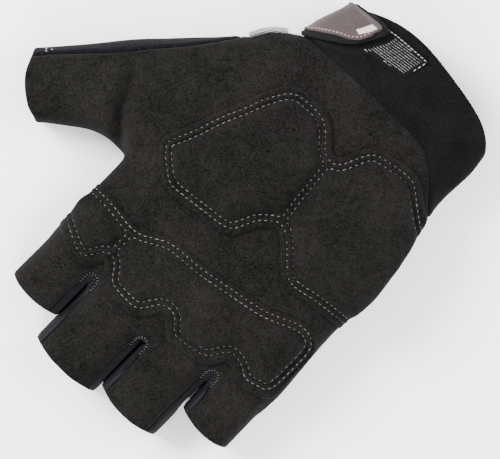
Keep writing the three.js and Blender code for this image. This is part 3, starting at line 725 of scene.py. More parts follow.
# %% The overlays' outer stitch lines, in millimetres
HEEL_LINE = [
    (-60, 4), (-52, 4.3), (-44, 4.9), (-35, 5.9), (-30, 7), (-25, 7.6), (-22, 6.6), (-18.5, 3.6),
    (-15, 0), (-11, -3.6), (-8, -4.9), (-5.5, -4.6), (-2.6, -2.4), (0, 0.2), (2.2, 4.6), (4, 7.9),
    (6.4, 9.5), (10, 10.3), (15, 10.9), (25, 12.1), (29, 12.5), (32, 12), (35, 10.2), (38, 7.9),
    (41, 5), (42.4, 2.3), (41.6, -0.4), (40, -3.8), (38, -8.6), (36, -14.6), (34, -19.6),
    (31, -26.2), (29, -31.4), (26.2, -36.8), (23.6, -40.4), (20, -42.3), (14, -42.9), (9.5, -42.5),
    (6, -40.8), (2.6, -37.4), (-0.4, -34.5), (-4, -33.4), (-6.6, -34.4), (-8.4, -37), (-10.2, -41),
    (-12.2, -44.6), (-15, -46.8), (-22, -48.4), (-28, -49.2), (-32, -48), (-37, -44.2),
    (-42, -40.6), (-47, -37.6), (-54, -34), (-60, -31), (-66, -12),
]
KNUCKLE_LINE = [
    (-46.6, 30), (-46.4, 37.5), (-45, 41), (-42, 42.3), (-37, 43.4), (-34, 41.8), (-31, 40.5),
    (-28, 40.2), (-25.8, 41), (-24, 43.4), (-22, 46.4), (-19.6, 48.2), (-15, 49.3), (-10, 50.1),
    (-7.6, 49.8), (-5.6, 48.1), (-4, 46.2), (-2, 44.9), (0.6, 44.7), (3, 45.5), (5, 47.7),
    (7, 50.9), (9.2, 52.8), (13, 53.3), (20, 52.9), (22.4, 51.4), (24.6, 48.4), (26.6, 46.3),
    (29, 45.6), (31.2, 46.6), (33, 49.2), (35, 52), (37.2, 52.9), (40, 52.2), (44, 50.4),
    (48, 48.4), (52, 46), (56, 40), (53, 33.4), (47, 32.4), (40, 32.6), (35, 33.2), (30, 33.6),
    (26, 32.8), (22, 30.6), (18, 28.4), (15, 27.5), (10, 26.9), (5, 26.6), (0, 26), (-10, 24.2),
    (-20, 22.4), (-25, 21.2), (-30, 19.2), (-36, 16.6), (-40, 15.9), (-44, 17), (-46.3, 21),
]

# %% Their rows, walls and margins
TWIN = 2.1  # between the two rows of a pair
DIVIDER_HALF = 0.95
HEEL_DIVIDER = [(-7.2, 2), (-6.5, -7.5), (-5.5, -14.5), (-5, -20.3), (-4.2, -29), (-3.6, -40)]
KNUCKLE_DIVIDER = [(28.9, 54), (29, 46), (29.1, 40), (29, 34), (28.8, 28)]
OVERLAY_WALL = 1.0
OVERLAY_GAP = 0.3  # the sewn layers are drawn this far apart
OVERLAY_FOOT = 9.4  # a patch ends here, where the side of the hand turns down
STITCH_PITCH = 2.2


def anticlockwise(points):
    """The outline's points, so ordered that its inside lies to the left."""
    x, y = np.array(points).T
    return points if (x * np.roll(y, -1) - y * np.roll(x, -1)).sum() > 0 else points[::-1]


heel_line = smooth_line(anticlockwise(HEEL_LINE), closed=True, step=0.5)
knuckle_line = smooth_line(anticlockwise(KNUCKLE_LINE), closed=True, step=0.5)
heel_divider = smooth_line(HEEL_DIVIDER, step=0.5)
knuckle_divider = smooth_line(KNUCKLE_DIVIDER, step=0.5)


def heel_margin(p):
    """How far the suede runs past the outer row."""
    return np.full(len(p), 2.5)


def knuckle_margin(p):
    """Wide towards the fingers and narrow towards the palm."""
    return 1.7 + 1.6 * fade(p[:, 1], 30, 42)


print("points round the pads:", len(heel_line), "and", len(knuckle_line))

# %% Cut a patch from the palm's skin
def patch_of_skin(line, margin):
    """The palm's skin inside a cut edge, with small faces: points, normals and faces."""
    low, high = line.min(axis=0) - 4, line.max(axis=0) + 4
    middles = face_middles(body)
    near = (piece_of_face == "palm_panel") & (middles[:, 2] > OVERLAY_FOOT - 2)
    near &= ((middles[:, :2] > low) & (middles[:, :2] < high)).all(axis=1)
    faces = [skin_faces[i] for i in np.flatnonzero(near)]
    used = np.unique([v for f in faces for v in f])
    new = np.full(len(skin_points), -1)
    new[used] = np.arange(len(used))
    patch = bmesh.new()
    verts = [patch.verts.new(skin_points[i]) for i in used]
    for face in faces:
        patch.faces.new([verts[new[v]] for v in face])
    patch.verts.index_update()
    patch.verts.ensure_lookup_table()
    edge = lambda p: margin(p) + side_of(line, p)
    foot = lambda p: p[:, 2] - OVERLAY_FOOT
    for field in (edge, foot):
        split_along(patch, field)
        patch.faces.ensure_lookup_table()
        outside = field(face_middles(patch)) < 0
        bmesh.ops.delete(patch, geom=[patch.faces[i] for i in np.flatnonzero(outside)], context="FACES")
        patch.verts.index_update()
        patch.verts.ensure_lookup_table()
        patch.edges.index_update()
    bmesh.ops.subdivide_edges(patch, edges=patch.edges[:], cuts=1, use_grid_fill=True)
    patch.verts.index_update()
    patch.normal_update()
    points = np.array([v.co for v in patch.verts])
    edges = np.array([[v.index for v in e.verts] for e in patch.edges])
    border = np.zeros(len(points), bool)
    border[[v.index for e in patch.edges if len(e.link_faces) == 1 for v in e.verts]] = True
    points = relaxed(points, edges, 3, 0.5, (~border).astype(float))
    for vert, p in zip(patch.verts, points):
        vert.co = p
    patch.normal_update()
    normals = relaxed(np.array([v.normal for v in patch.verts]), edges, 6)
    normals /= np.linalg.norm(normals, axis=1, keepdims=True)
    faces = [[v.index for v in f.verts] for f in patch.faces]
    patch.free()
    return points, normals, faces


# %% Foam, channels and stitch grooves
def rings_of(value, along):
    """A groove along a row of stitches, a little deeper where the thread dives in."""
    return np.exp(-((value / 0.5) ** 2)) * (0.75 + 0.25 * np.cos(2 * math.pi * along / STITCH_PITCH))


def nearest_run(line, points):
    """How far along a line the nearest place is."""
    tree = kdtree_of([(x, y, 0) for x, y in line])
    run = np.concatenate([[0], np.cumsum(np.hypot(*np.diff(line, axis=0).T))])
    return np.array([run[tree.find((x, y, 0))[1]] for x, y in points[:, :2]])


def pad_height(points, normals, line, divider, margin, rise):
    """Height of the patch over the palm's skin."""
    outer = side_of(line, points)
    across = np.abs(side_of(divider, points)) - DIVIDER_HALF
    cell = np.minimum(outer - TWIN, across)
    steep = fade(normals[:, 2], 0.25, 0.75)
    foam = 1 - np.exp(-((np.clip(cell, 0, 30) / 2.3) ** 1.3))
    height = rise * foam * steep
    height += 0.3 * np.sin(math.pi * np.clip(outer / TWIN, 0, 1))
    height += 0.25 * np.cos(math.pi / 2 * np.clip(across / DIVIDER_HALF + 1, 0, 1)) * (outer > TWIN)
    past = np.clip(-outer / margin(points), 0, 1)
    height += 0.2 * np.sin(math.pi * past) * (outer < 0)
    along = nearest_run(line, points)
    grooves = np.maximum(rings_of(outer, along), rings_of(outer - TWIN, along) * (across > -0.1))
    grooves = np.maximum(grooves, rings_of(across, points[:, 1]) * (outer > TWIN - 0.3))
    height -= 0.5 * grooves
    to_cut = margin(points) + outer
    height -= 0.55 * np.exp(-((np.clip(to_cut, 0, 9) / 0.6) ** 2))
    thin = 0.4 + 0.6 * fade(normals[:, 2], 0.1, 0.6)
    height = (height + OVERLAY_WALL + OVERLAY_GAP) * thin
    return np.maximum(height, OVERLAY_GAP + 0.15), cell


# %% A closed patch
def closed_piece(name, top, low, faces):
    """Joins a top face, a lower one and the cut edge between them."""
    count = len(top)
    directed = {(f[i - 1], f[i]) for f in faces for i in range(len(f))}
    rim = [(b, a, a + count, b + count) for a, b in directed if (b, a) not in directed]
    under = [[v + count for v in f[::-1]] for f in faces]
    thing = object_from(name, np.vstack([top, low]), faces + under + rim)
    thing.data.shade_smooth()
    print(name, sum(len(p.vertices) - 2 for p in thing.data.polygons), "triangles")
    return thing


# %% Lay the two overlays
# broad shallow hills, as foam has under suede that was handled: the columns are those of WAVES
FOAM_HILLS = [(23, 33, 0.16, 0.4), (15, 101, 0.12, 1.9), (9.5, 155, 0.06, 2.6)]


def overlay(name, line, divider, margin, rise):
    """One padded patch, sewn on the palm."""
    points, normals, faces = patch_of_skin(line, margin)
    height, cell = pad_height(points, normals, line, divider, margin, rise)
    height += wave_height(points, FOAM_HILLS) * fade(cell, 0.5, 4)
    top, low = points + normals * height[:, None], points + normals * OVERLAY_GAP
    return closed_piece(name + "_pad", top, low, faces)


heel_overlay = overlay("heel_overlay", heel_line, heel_divider, heel_margin, 3.0)
knuckle_overlay = overlay("knuckle_overlay", knuckle_line, knuckle_divider, knuckle_margin, 2.3)

# %% [markdown]
# ## Stitches
# The seams are sewn with a pale grey lockstitch. One stitch is modelled once: a short thread that
# bends down at both ends, where it dives into the suede. Copies of it are laid along each row, at
# even steps, turned to the row and to the surface under them.

# %% One stitch
def model_stitch(length, wide, tall):
    """A thread's visible run, lying along X, as points and faces in millimetres."""
    bpy.ops.object.select_all(action="DESELECT")
    bpy.ops.mesh.primitive_cylinder_add(
        vertices=6, radius=0.5 * MM, depth=length * MM, end_fill_type="TRIFAN")
    one = bpy.context.active_object
    bpy.ops.object.mode_set(mode="EDIT")
    for share in (0.25, 0, -0.25):
        bpy.ops.mesh.select_all(action="SELECT")
        bpy.ops.mesh.bisect(plane_co=(0, 0, share * length * MM), plane_no=(0, 0, 1))
    bpy.ops.object.mode_set(mode="OBJECT")
    p = points_of(one)
    p = np.stack([p[:, 2], p[:, 1], -p[:, 0]], axis=1)
    share = np.abs(2 * p[:, 0] / length)
    plump = 1 - 0.45 * share**2.5
    p[:, 1] *= wide * plump
    p[:, 2] *= tall * plump
    p[:, 2] -= 0.3 * share**3
    faces = [tuple(f.vertices) for f in one.data.polygons]
    bpy.data.objects.remove(one)
    return p, faces


stitch_points, stitch_faces = model_stitch(1.8, 0.4, 0.4)
print("one stitch:", len(stitch_faces), "faces")

# %% Find the surface under a row
def tree_over(things):
    """A tree of triangles for finding the surface of some pieces, in millimetres."""
    points, faces = [], []
    for thing in things:
        start = sum(len(p) for p in points)
        points.append(points_of(thing))
        faces += [[start + v for v in f.vertices] for f in thing.data.polygons]
    return BVHTree.FromPolygons(np.vstack(points).tolist(), faces)


def on_surface(tree, line, lowest=0.3):
    """Drops a plan line on the surface below it: runs of points with their normals."""
    runs, current = [], []
    for x, y in line:
        place, normal, _, _ = tree.ray_cast(Vector((x, y, 80)), Vector((0, 0, -1)))
        if place is None or normal.z < lowest:
            if len(current) > 3:
                runs.append(current)
            current = []
        else:
            current.append((*place, *normal))
    if len(current) > 3:
        runs.append(current)
    return [np.array(run) for run in runs]


def stitch_places(run, pitch, first=0.5):
    """Places, directions and normals at even steps along a run of surface points."""
    step = np.linalg.norm(np.diff(run[:, :3], axis=0), axis=1)
    along = np.concatenate([[0], np.cumsum(step)])
    count = max(int(along[-1] / pitch), 1)
    at = (np.arange(count) + first) * along[-1] / count
    get = lambda s: np.stack([np.interp(s, along, run[:, k]) for k in range(6)], axis=1)
    here, ahead, behind = get(at), get(at + 0.5), get(at - 0.5)
    way = ahead[:, :3] - behind[:, :3]
    return here[:, :3], way, here[:, 3:]


# %% Lay copies along the rows
def lay_stitches(name, rows, template, faces, slant=7, sink=0.1, seed=3):
    """One mesh with a copy of the stitch at each place."""
    rng = np.random.default_rng(seed)
    points, all_faces = [], []
    for place, way, normal in rows:
        for p, w, n in zip(place, way, normal):
            w = w / np.linalg.norm(w)
            n = n - w * (n @ w)
            n /= np.linalg.norm(n)
            side = np.cross(n, w)
            angle = math.radians(slant + rng.normal(0, 3.5))
            c, s = math.cos(angle), math.sin(angle)
            w, side = w * c + side * s, side * c - w * s
            size = rng.normal(1, 0.05)
            copy = p + size * template @ np.array([w, side, n]) - sink * n
            start = len(points) * len(template)
            points.append(copy)
            all_faces += [[start + v for v in f] for f in faces]
    thing = object_from(name, np.vstack(points), all_faces)
    thing.data.shade_smooth()
    print(name, len(points), "stitches")
    return thing


# %% Rows of the overlays
def moved_in(line, distance):
    """A closed line, moved to its left, which is inwards on one that runs anticlockwise."""
    x, y = (line[1:] - line[:-1]).T
    inward = np.stack([-y, x], axis=1) / np.hypot(x, y)[:, None]
    return line[:-1] + distance * inward


def twin_rows(line, divider):
    """Plan lines of the outer, inner and dividing rows."""
    outer = line[:-1]
    inner = moved_in(line, TWIN)
    away = side_of(line, inner)
    gap = np.abs(side_of(divider, inner)) - DIVIDER_HALF
    rows = [outer]
    rows += kept_runs(inner, (away > TWIN - 0.15) & (gap > -0.2))
    tangent = np.gradient(divider, axis=0)
    normal = np.stack([-tangent[:, 1], tangent[:, 0]], axis=1)
    normal /= np.linalg.norm(normal, axis=1, keepdims=True)
    for sign in (-1, 1):
        row = divider + sign * DIVIDER_HALF * normal
        rows += kept_runs(row, side_of(line, row) > TWIN - 0.2)
    return rows


def kept_runs(line, keep):
    """Splits a line into its kept stretches."""
    runs, current = [], []
    for p, good in zip(line, keep):
        if good:
            current.append(p)
        elif current:
            runs.append(current)
            current = []
    if current:
        runs.append(current)
    return [np.array(r) for r in runs if len(r) > 6]


# %% Sew the overlays on
overlay_tree = tree_over([heel_overlay, knuckle_overlay])
overlay_rows = []
for line, divider in ((heel_line, heel_divider), (knuckle_line, knuckle_divider)):
    for row in twin_rows(line, divider):
        overlay_rows += [stitch_places(run, STITCH_PITCH) for run in on_surface(overlay_tree, row)]
overlay_stitches = lay_stitches("overlay_stitches", overlay_rows, stitch_points, stitch_faces)

# %% [markdown]
# ## The wrist strap
# A strap of loop cloth comes round the wrist from the back of the hand and closes on a patch of hook
# tape. It carries a moulded face with a pale inlay. All of them are laid out flat first, as they are
# cut: one axis is the distance round the wrist, the other the place along the arm. A table of places
# on the skin then wraps them round, which keeps their widths true on the curve.

# %% The wrist, unrolled
WRIST_TURNS = np.arange(-150, 125.1, 0.75)  # degrees round a section, 0 at the thumb side
ALONG_STEP = 0.5
ROUND_STEP = 0.25
WRIST_Y = np.arange(-90, -54.9, ALONG_STEP)
wrist_round = np.arange(-66, 54, ROUND_STEP)  # millimetres round the wrist, 0 at the thumb side


def wrist_table():
    """Places and normals on the wrist, by place along the arm and distance round it."""
    by_y = np.vstack([past_rim, fine_palm])
    by_y = by_y[np.argsort(by_y[:, 1])]
    rows = np.stack([np.interp(WRIST_Y, by_y[:, 1], by_y[:, k]) for k in range(9)])
    rows[1], rows[3], rows[6] = WRIST_Y, WRIST_Y, 0
    skin_at = oval(rows[:, :, None], np.radians(WRIST_TURNS)[None, :])
    step = np.hypot(np.diff(skin_at[:, :, 0]), np.diff(skin_at[:, :, 2]))
    run = np.concatenate([np.zeros((len(WRIST_Y), 1)), step.cumsum(axis=1)], axis=1)
    zero = np.array([np.interp(0, WRIST_TURNS, r) for r in run])
    run -= zero[:, None]
    places = np.stack([[np.interp(wrist_round, run[i], skin_at[i, :, k]) for i in range(len(WRIST_Y))]
                       for k in range(3)], axis=-1)
    for _ in range(6):
        places[:, 1:-1] += 0.5 * ((places[:, 2:] + places[:, :-2]) / 2 - places[:, 1:-1])
        places[1:-1] += 0.5 * ((places[2:] + places[:-2]) / 2 - places[1:-1])
    across = np.gradient(places, axis=0)
    around = np.gradient(places, axis=1)
    normals = np.cross(across, around)
    normals /= np.maximum(np.linalg.norm(normals, axis=2, keepdims=True), 1e-6)
    middle = np.argmin(np.abs(WRIST_Y + 70))
    print("round the wrist:", run[middle][[0, -1]].round(1), "mm")
    return places, normals, run[middle]


wrist_places, wrist_normals, run_of_turn = wrist_table()
outward = wrist_normals[20, len(wrist_round) // 2, 0]
print("the wrist's normals point", "outwards" if outward > 0 else "inwards")
if outward < 0:
    wrist_normals = -wrist_normals


# %% From flat to the wrist, and back
def wrapped(flat, table):
    """The table's values at flat places (round, y)."""
    u = np.clip((flat[:, 0] - wrist_round[0]) / ROUND_STEP, 0, len(wrist_round) - 1.001)
    v = np.clip((flat[:, 1] - WRIST_Y[0]) / ALONG_STEP, 0, len(WRIST_Y) - 1.001)
    i, j = v.astype(int), u.astype(int)
    fi, fj = (v - i)[:, None], (u - j)[:, None]
    return (table[i, j] * (1 - fi) * (1 - fj) + table[i + 1, j] * fi * (1 - fj)
            + table[i, j + 1] * (1 - fi) * fj + table[i + 1, j + 1] * fi * fj)


def unrolled(plan, lift=0.8):
    """Flat places of plan points on the palm side, for a face that stands off the skin by lift."""
    seen = wrist_places[:, :, 0] + lift * wrist_normals[:, :, 0]
    front = wrist_round >= 0
    found = []
    for x, y in plan:
        i = int(np.clip(round((y - WRIST_Y[0]) / ALONG_STEP), 0, len(WRIST_Y) - 1))
        found.append((np.interp(-x, -seen[i, front], wrist_round[front]), y))
    return found


def at_turn(turn, y):
    """The flat place of a turn round the wrist, in degrees."""
    return (np.interp(turn, WRIST_TURNS, run_of_turn), y)


print("a quarter turn to the back is", round(-at_turn(-90, -70)[0], 1), "mm round the wrist")

# %% Outlines of the strap, its face, the inlay and the hook tape
# a tip's points are x, y in the plan, and a back's are a turn round the wrist and a y
STRAP_TIP = [
    (35.4, -59.1), (31.5, -61.2), (27, -63.9), (23, -66.4), (20, -68.8), (17.8, -71.8),
    (15.8, -75.6), (14, -79), (13.7, -81), (14.9, -82.2), (17.5, -82.4), (22, -82), (27, -81.2),
]
STRAP_BACK = [
    (-25, -80.2), (-60, -80.5), (-100, -79.2), (-132, -75), (-132, -62.7), (-100, -61.8),
    (-60, -61), (-25, -59.6), (-4, -58.9),
]
FACE_TIP = [
    (36.9, -59.9), (33.9, -62.4), (30.2, -64.6), (26.2, -66.8), (22.5, -68.7), (19.2, -71.4),
    (17.5, -74.6), (16.6, -77.8), (16, -79.6), (16.5, -80.7), (18.2, -80.9), (21.2, -80.7),
    (24.2, -80.4), (28, -80),
]
FACE_BACK = [(-6, -79.3), (-16, -78.6), (-20, -76), (-21, -70), (-20, -63.5), (-16, -60.9), (-6, -59.9)]
INLAY_CORNERS = [(22.9, -73.2), (19.9, -79.0), (17.2, -79.2), (20.7, -72.7)]
HOOK_OUTLINE = [
    (32, -60.6), (26.8, -61), (22.5, -63), (18.1, -65.3), (15.4, -67), (12.7, -70.8), (6.7, -71.4),
    (-1.6, -73.3), (-2.6, -75.5), (-4.4, -82.6), (-4, -83.8), (-2.4, -84), (3.1, -83.7), (12, -83),
    (18, -81), (20, -74), (26, -69), (32, -65),
]
STRAP_TOP, FACE_TOP, INLAY_TOP = 3.4, 4.8, 5.2  # how high they stand over the skin at the tip
# turn round the wrist, and how far the strap stands off the cuff there
LIFTS = [(-150, 0.3), (-25, 0.35), (0, 0.5), (25, 1.2), (42, 2.0), (53, 2.5), (59, 2.7), (80, 2.9)]

tip, back = unrolled(STRAP_TIP, STRAP_TOP), [at_turn(*p) for p in STRAP_BACK]
strap_line = smooth_line(anticlockwise(tip + back), closed=True, step=0.4)
tip, back = unrolled(FACE_TIP, FACE_TOP), [at_turn(*p) for p in FACE_BACK]
face_line = smooth_line(anticlockwise(tip + back), closed=True, step=0.3)
hook_line = smooth_line(anticlockwise(unrolled(HOOK_OUTLINE)), closed=True, step=0.4)
print("outlines:", len(strap_line), len(face_line), "and", len(hook_line), "points")

# %% Inside the bar, and how far the strap stands off
def corner_field(corners, flat):
    """Distance inside a shape with straight sides and sharp corners."""
    corners = np.array(anticlockwise(corners))
    inside = np.full(len(flat), 99.0)
    for a, b in zip(corners, np.roll(corners, -1, axis=0)):
        run = (b - a) / np.linalg.norm(b - a)
        inside = np.minimum(inside, run[0] * (flat[:, 1] - a[1]) - run[1] * (flat[:, 0] - a[0]))
    return inside


def lift_of(flat):
    """How far the strap stands off the cuff, more towards its free end."""
    turns, lifts = zip(*LIFTS)
    return np.interp(flat[:, 0], np.interp(turns, WRIST_TURNS, run_of_turn), lifts)


print("the strap stands off by", LIFTS[0][1], "to", LIFTS[-1][1], "mm")

# %% A flat piece, cut out and wrapped
def grid_quads(rows, columns):
    """The squares between the points of a grid."""
    grid = np.arange(rows * columns).reshape(rows, columns)
    corners = [grid[:-1, :-1], grid[:-1, 1:], grid[1:, 1:], grid[1:, :-1]]
    return np.stack(corners, axis=-1).reshape(-1, 4)


def facing_out(points, faces, normals):
    """The faces, turned over where they look against the normals."""
    a, b, c = faces[0][:3]
    looks = np.cross(points[b] - points[a], points[c] - points[a]) @ normals[a]
    return faces if looks >= 0 else [f[::-1] for f in faces]


def cut_flat(field, low, high, step):
    """A sheet of small squares inside field > 0: flat points and faces."""
    nx, ny = (int((high[k] - low[k]) / step) + 1 for k in range(2))
    x, y = np.meshgrid(low[0] + np.arange(nx) * step, low[1] + np.arange(ny) * step)
    flat = np.stack([x.ravel(), y.ravel(), 0 * x.ravel()], axis=1)
    quads = grid_quads(ny, nx)
    near = (field(flat) > -2.5 * step)[quads].any(axis=1)
    quads = quads[near]
    used, quads = np.unique(quads, return_inverse=True)
    sheet = bmesh.new()
    verts = [sheet.verts.new(p) for p in flat[used]]
    for quad in quads.reshape(-1, 4):
        sheet.faces.new([verts[i] for i in quad])
    sheet.verts.index_update()
    sheet.edges.index_update()
    split_along(sheet, field)
    sheet.faces.ensure_lookup_table()
    outside = np.flatnonzero(field(face_middles(sheet)) < 0)
    bmesh.ops.delete(sheet, geom=[sheet.faces[i] for i in outside], context="FACES")
    sheet.verts.index_update()
    sheet.normal_update()
    for face in sheet.faces:
        if face.normal.z < 0:
            face.normal_flip()
    points = np.array([v.co[:2] for v in sheet.verts])
    faces = [[v.index for v in f.verts] for f in sheet.faces]
    sheet.free()
    return points, faces


# %% The same piece, wrapped round the wrist
def wrapped_piece(name, field, outline, step, floor, height):
    """A piece on the wrist between its floor and floor + height over the skin."""
    flat, faces = cut_flat(field, np.min(outline, axis=0) - 1, np.max(outline, axis=0) + 1, step)
    place, normal = wrapped(flat, wrist_places), wrapped(flat, wrist_normals)
    base = floor(flat)[:, None]
    low, top = place + normal * base, place + normal * (base + height(flat)[:, None])
    # the sheet's flat frame is turned over when it is wrapped
    return closed_piece(name, top, low, facing_out(top, faces, normal))


# %% The strap
STRAP_WALL = 1.7
FACE_WALL = 0.95
strap_in = lambda flat: side_of(strap_line, flat)
face_in = lambda flat: side_of(face_line, flat)


def strap_height(flat):
    """Thinner at its edge, with a shallow sewn groove along it."""
    d = np.clip(strap_in(flat), 0, 9)
    return STRAP_WALL - 0.75 * np.exp(-((d / 0.55) ** 2)) - 0.2 * np.exp(-(((d - 1.0) / 0.25) ** 2))


closure_strap = wrapped_piece("strap_cloth", strap_in, strap_line, 0.4, lift_of, strap_height)
strap_size = np.append(np.ptp(strap_line, axis=0), 0) * MM
x, y = strap_line.T
strap_area = abs((x[:-1] * y[1:] - x[1:] * y[:-1]).sum()) / 2 * MM**2
print("strap, laid flat:", strap_size[:2].round(3), "m,", round(strap_area * 1e4, 1), "square cm")

# %% [markdown]
# The strap's free end has a moulded face, so that fingers find it and hold it. It is a thin rubbery
# shell with fine ribs along the strap. The ribs could be bumps in the finish, but they catch the light
# at the tip, so they are cut into the shape: a cosine over the flat sheet, inside the ribs' outline.

# %% The moulded face
RIB_PITCH = 0.8
RIB_TURN = 9.7  # degrees between the ribs and the strap's length
RIB_EDGE = [(30, -78.8), (23, -79.2), (19.9, -79.3), (23.3, -72.7), (26.5, -71.1)]
rib_edge = unrolled(RIB_EDGE, FACE_TOP)
rib_corners = [at_turn(-17, -77.4), *rib_edge, at_turn(20, -67.5), at_turn(-17, -64.5)]
rib_line = np.array(anticlockwise(rib_corners + rib_corners[:1]))


def face_height(flat):
    """A rounded edge, a raised lip along the lower side, and ribs inside their outline."""
    d = np.clip(face_in(flat), 0, 9)
    lower_side = fade(-flat[:, 1], 77.6, 78.8)
    height = FACE_WALL - 0.45 * np.exp(-((d / 0.3) ** 2))
    height += 0.22 * np.exp(-(((d - 0.55) / 0.35) ** 4)) * lower_side
    height -= 0.28 * np.exp(-(((d - 1.15) / 0.22) ** 2)) * (1 - lower_side)
    inside = fade(side_of(rib_line, flat), 0.0, 0.35)
    turn = math.radians(RIB_TURN)
    over = flat[:, 0] * math.sin(turn) + flat[:, 1] * math.cos(turn)
    ribs = 0.5 + 0.5 * np.cos(2 * math.pi * over / RIB_PITCH)
    height -= inside * (0.06 + 0.36 * ribs**1.5)
    return height


face_floor = lambda flat: lift_of(flat) + STRAP_WALL + 0.05
tab_face = wrapped_piece("moulded_face", face_in, face_line, 0.2, face_floor, face_height)

# %% The pale bar
inlay_corners = unrolled(INLAY_CORNERS, INLAY_TOP)
inlay_in = lambda flat: corner_field(inlay_corners, flat) if len(flat) else np.zeros(0)
inlay_height = lambda flat: 0.42 - 0.22 * np.exp(-((np.clip(inlay_in(flat), 0, 9) / 0.2) ** 2))
inlay_floor = lambda flat: face_floor(flat) + FACE_WALL - 0.2
tab_inlay = wrapped_piece("pale_bar", inlay_in, inlay_corners, 0.15, inlay_floor, inlay_height)

# %% [markdown]
# The strap closes on hook tape, a stiff woven ribbon with rows of tiny nylon hooks. Each hook is far
# smaller than a thread, so what the eye sees is their glints, bright slanting dashes in rows. They are
# made of the same stitch model, shorter and thinner, and laid in rows over the part of the tape that
# shows. Their pale grey colour is painted highlight for those glints.

# %% The hook tape
HOOK_WALL = 0.7
hook_in = lambda flat: side_of(hook_line, flat)


def hook_height(flat):
    """Thinner at its edge, with a sewn groove along it."""
    d = np.clip(hook_in(flat), 0, 9)
    return HOOK_WALL - 0.35 * np.exp(-((d / 0.35) ** 2)) - 0.2 * np.exp(-(((d - 0.8) / 0.3) ** 2))


hook_floor = lambda flat: np.full(len(flat), 0.15)
hook_patch = wrapped_piece("hook_tape", hook_in, hook_line, 0.3, hook_floor, hook_height)

# %% Hooks in their rows
HOOK_ROW_GAP = 0.9
HOOK_STEP = 1.42
HOOK_TURN = 8.5  # degrees between the rows and the strap's length
HOOK_MARGIN = 1.5
# above this y and near the strap's edge the tape lies in the strap's shadow: no hooks are laid there,
# so their painted glints drop out as painted shade
HOOK_TOP_Y = -70.0
STRAP_SHADOW_CLEAR = 2.6  # no hooks this far outside the strap's edge, where its shadow falls: painted shade
HOOK_AREA = [(-4, -86), (46, -62)]


def rows_inside(field, gap, turn, low, high):
    """Parallel lines inside a flat outline, as flat points 0.1 mm apart."""
    way = np.array([math.cos(math.radians(turn)), -math.sin(math.radians(turn))])
    across = np.array([-way[1], way[0]])
    middle = (np.array(low) + high) / 2
    reach = np.hypot(*(np.array(high) - low)) / 2
    rows = []
    for away in np.arange(-reach, reach, gap):
        run = middle + away * across + np.arange(-reach, reach, 0.1)[:, None] * way
        rows += kept_runs(run, field(run) > 0)
    return rows


# %% Lay the rows of hooks
def flat_run(line, floor):
    """A flat line as a run of places with normals, floor over the skin."""
    normal = wrapped(line, wrist_normals)
    return np.hstack([wrapped(line, wrist_places) + normal * floor(line)[:, None], normal])


hook_points, hook_faces = model_stitch(1.65, 0.28, 0.5)
hook_end = unrolled([(-1.8, -79)])[0][0]


def hook_field(flat):
    """Positive where rows of hooks are laid; they stop short of the strap's shadow, which is painted
    shade.
    """
    limits = [hook_in(flat) - HOOK_MARGIN, HOOK_TOP_Y - flat[:, 1],
              -strap_in(flat) - STRAP_SHADOW_CLEAR, hook_end - flat[:, 0]]
    return np.min(limits, axis=0)


hook_rows = [
    stitch_places(flat_run(row, lambda f: hook_floor(f) + HOOK_WALL + 0.12), HOOK_STEP)
    for row in rows_inside(hook_field, HOOK_ROW_GAP, HOOK_TURN, *HOOK_AREA)]
hooks = lay_stitches("hook_rows", hook_rows, hook_points, hook_faces, slant=0, sink=0, seed=5)

# %% Stitches of the strap's face
def inset_line(line, inset, field):
    """The stretches of a closed flat line that stay clear of its corners when it is moved in."""
    moved = moved_in(line, inset)
    return kept_runs(moved, field(moved) > inset - 0.12)


FACE_STITCH = 1.5
ROW_ENDS, ROW_CLIMB = -80.4, 2.2  # below this y, which climbs towards the thumb, is no row
face_rows = []
for row in inset_line(face_line, 1.15, face_in):
    upper = row[:, 1] > ROW_ENDS + ROW_CLIMB * fade(-row[:, 0], -22, -8)
    for run in kept_runs(row, upper):
        places = flat_run(run, lambda f: face_floor(f) + FACE_WALL - 0.05)
        face_rows.append(stitch_places(places, FACE_STITCH))
face_points, face_faces = model_stitch(1.1, 0.42, 0.4)
face_stitches = lay_stitches(
    "tab_stitches", face_rows, face_points, face_faces, slant=5, sink=0.05, seed=7)

# %% Stitches of the hook tape and the strap
BORDER_STITCH = 1.5
shown = unrolled([(14.5, -72)])[0][0]  # the pale border stitches run round the part past the strap's tip; nearer the strap, in its shadow, they are left out as painted shade
border_rows = [stitch_places(flat_run(run, lambda f: hook_floor(f) + HOOK_WALL - 0.1), BORDER_STITCH)
               for line in inset_line(hook_line, 0.75, hook_in)
               for run in kept_runs(line, (line[:, 1] < -77) & (line[:, 0] > shown - 6))]
border_points, border_faces = model_stitch(1.5, 0.42, 0.36)
border_stitches = lay_stitches(
    "hook_border_stitches", border_rows, border_points, border_faces, slant=12, sink=0, seed=9)

strap_rows = [stitch_places(flat_run(run, lambda f: lift_of(f) + STRAP_WALL - 0.2), STITCH_PITCH)
              for run in inset_line(strap_line, 1.0, strap_in)]
strap_stitches = lay_stitches(
    "strap_stitches", strap_rows, stitch_points, stitch_faces, slant=5, sink=0.05, seed=11)

# %% [markdown]
# ## Small trims
# A glove is finished with small things: a bar of overlock stitches round the foot of each slot, where
# the gusset is sewn in, a tack at the end of the thumb's hem, and a pale woven tape that shows along
# the wrist side of the thumb's root.

# %% Overlock at the foot of each slot
skin_tree = BVHTree.FromPolygons(skin_points.tolist(), skin_faces)
SLOT_STITCH = 1.05


def round_foot(k, half, rise):
    """A plan line up one side of a slot's foot, round it and down the other."""
    x, foot = slot_x[k], KNUCKLE_Y + CROTCHES[k][1]
    turn = np.radians(np.arange(180, 361, 6))
    arc = np.stack([x + half * np.cos(turn), foot + half + half * np.sin(turn)], axis=1)
    climb = np.arange(0.3, rise, 0.3)
    left = np.stack([np.full(len(climb), x - half), foot + half + climb[::-1]], axis=1)
    right = np.stack([np.full(len(climb), x + half), foot + half + climb], axis=1)
    return np.vstack([left, arc, right])


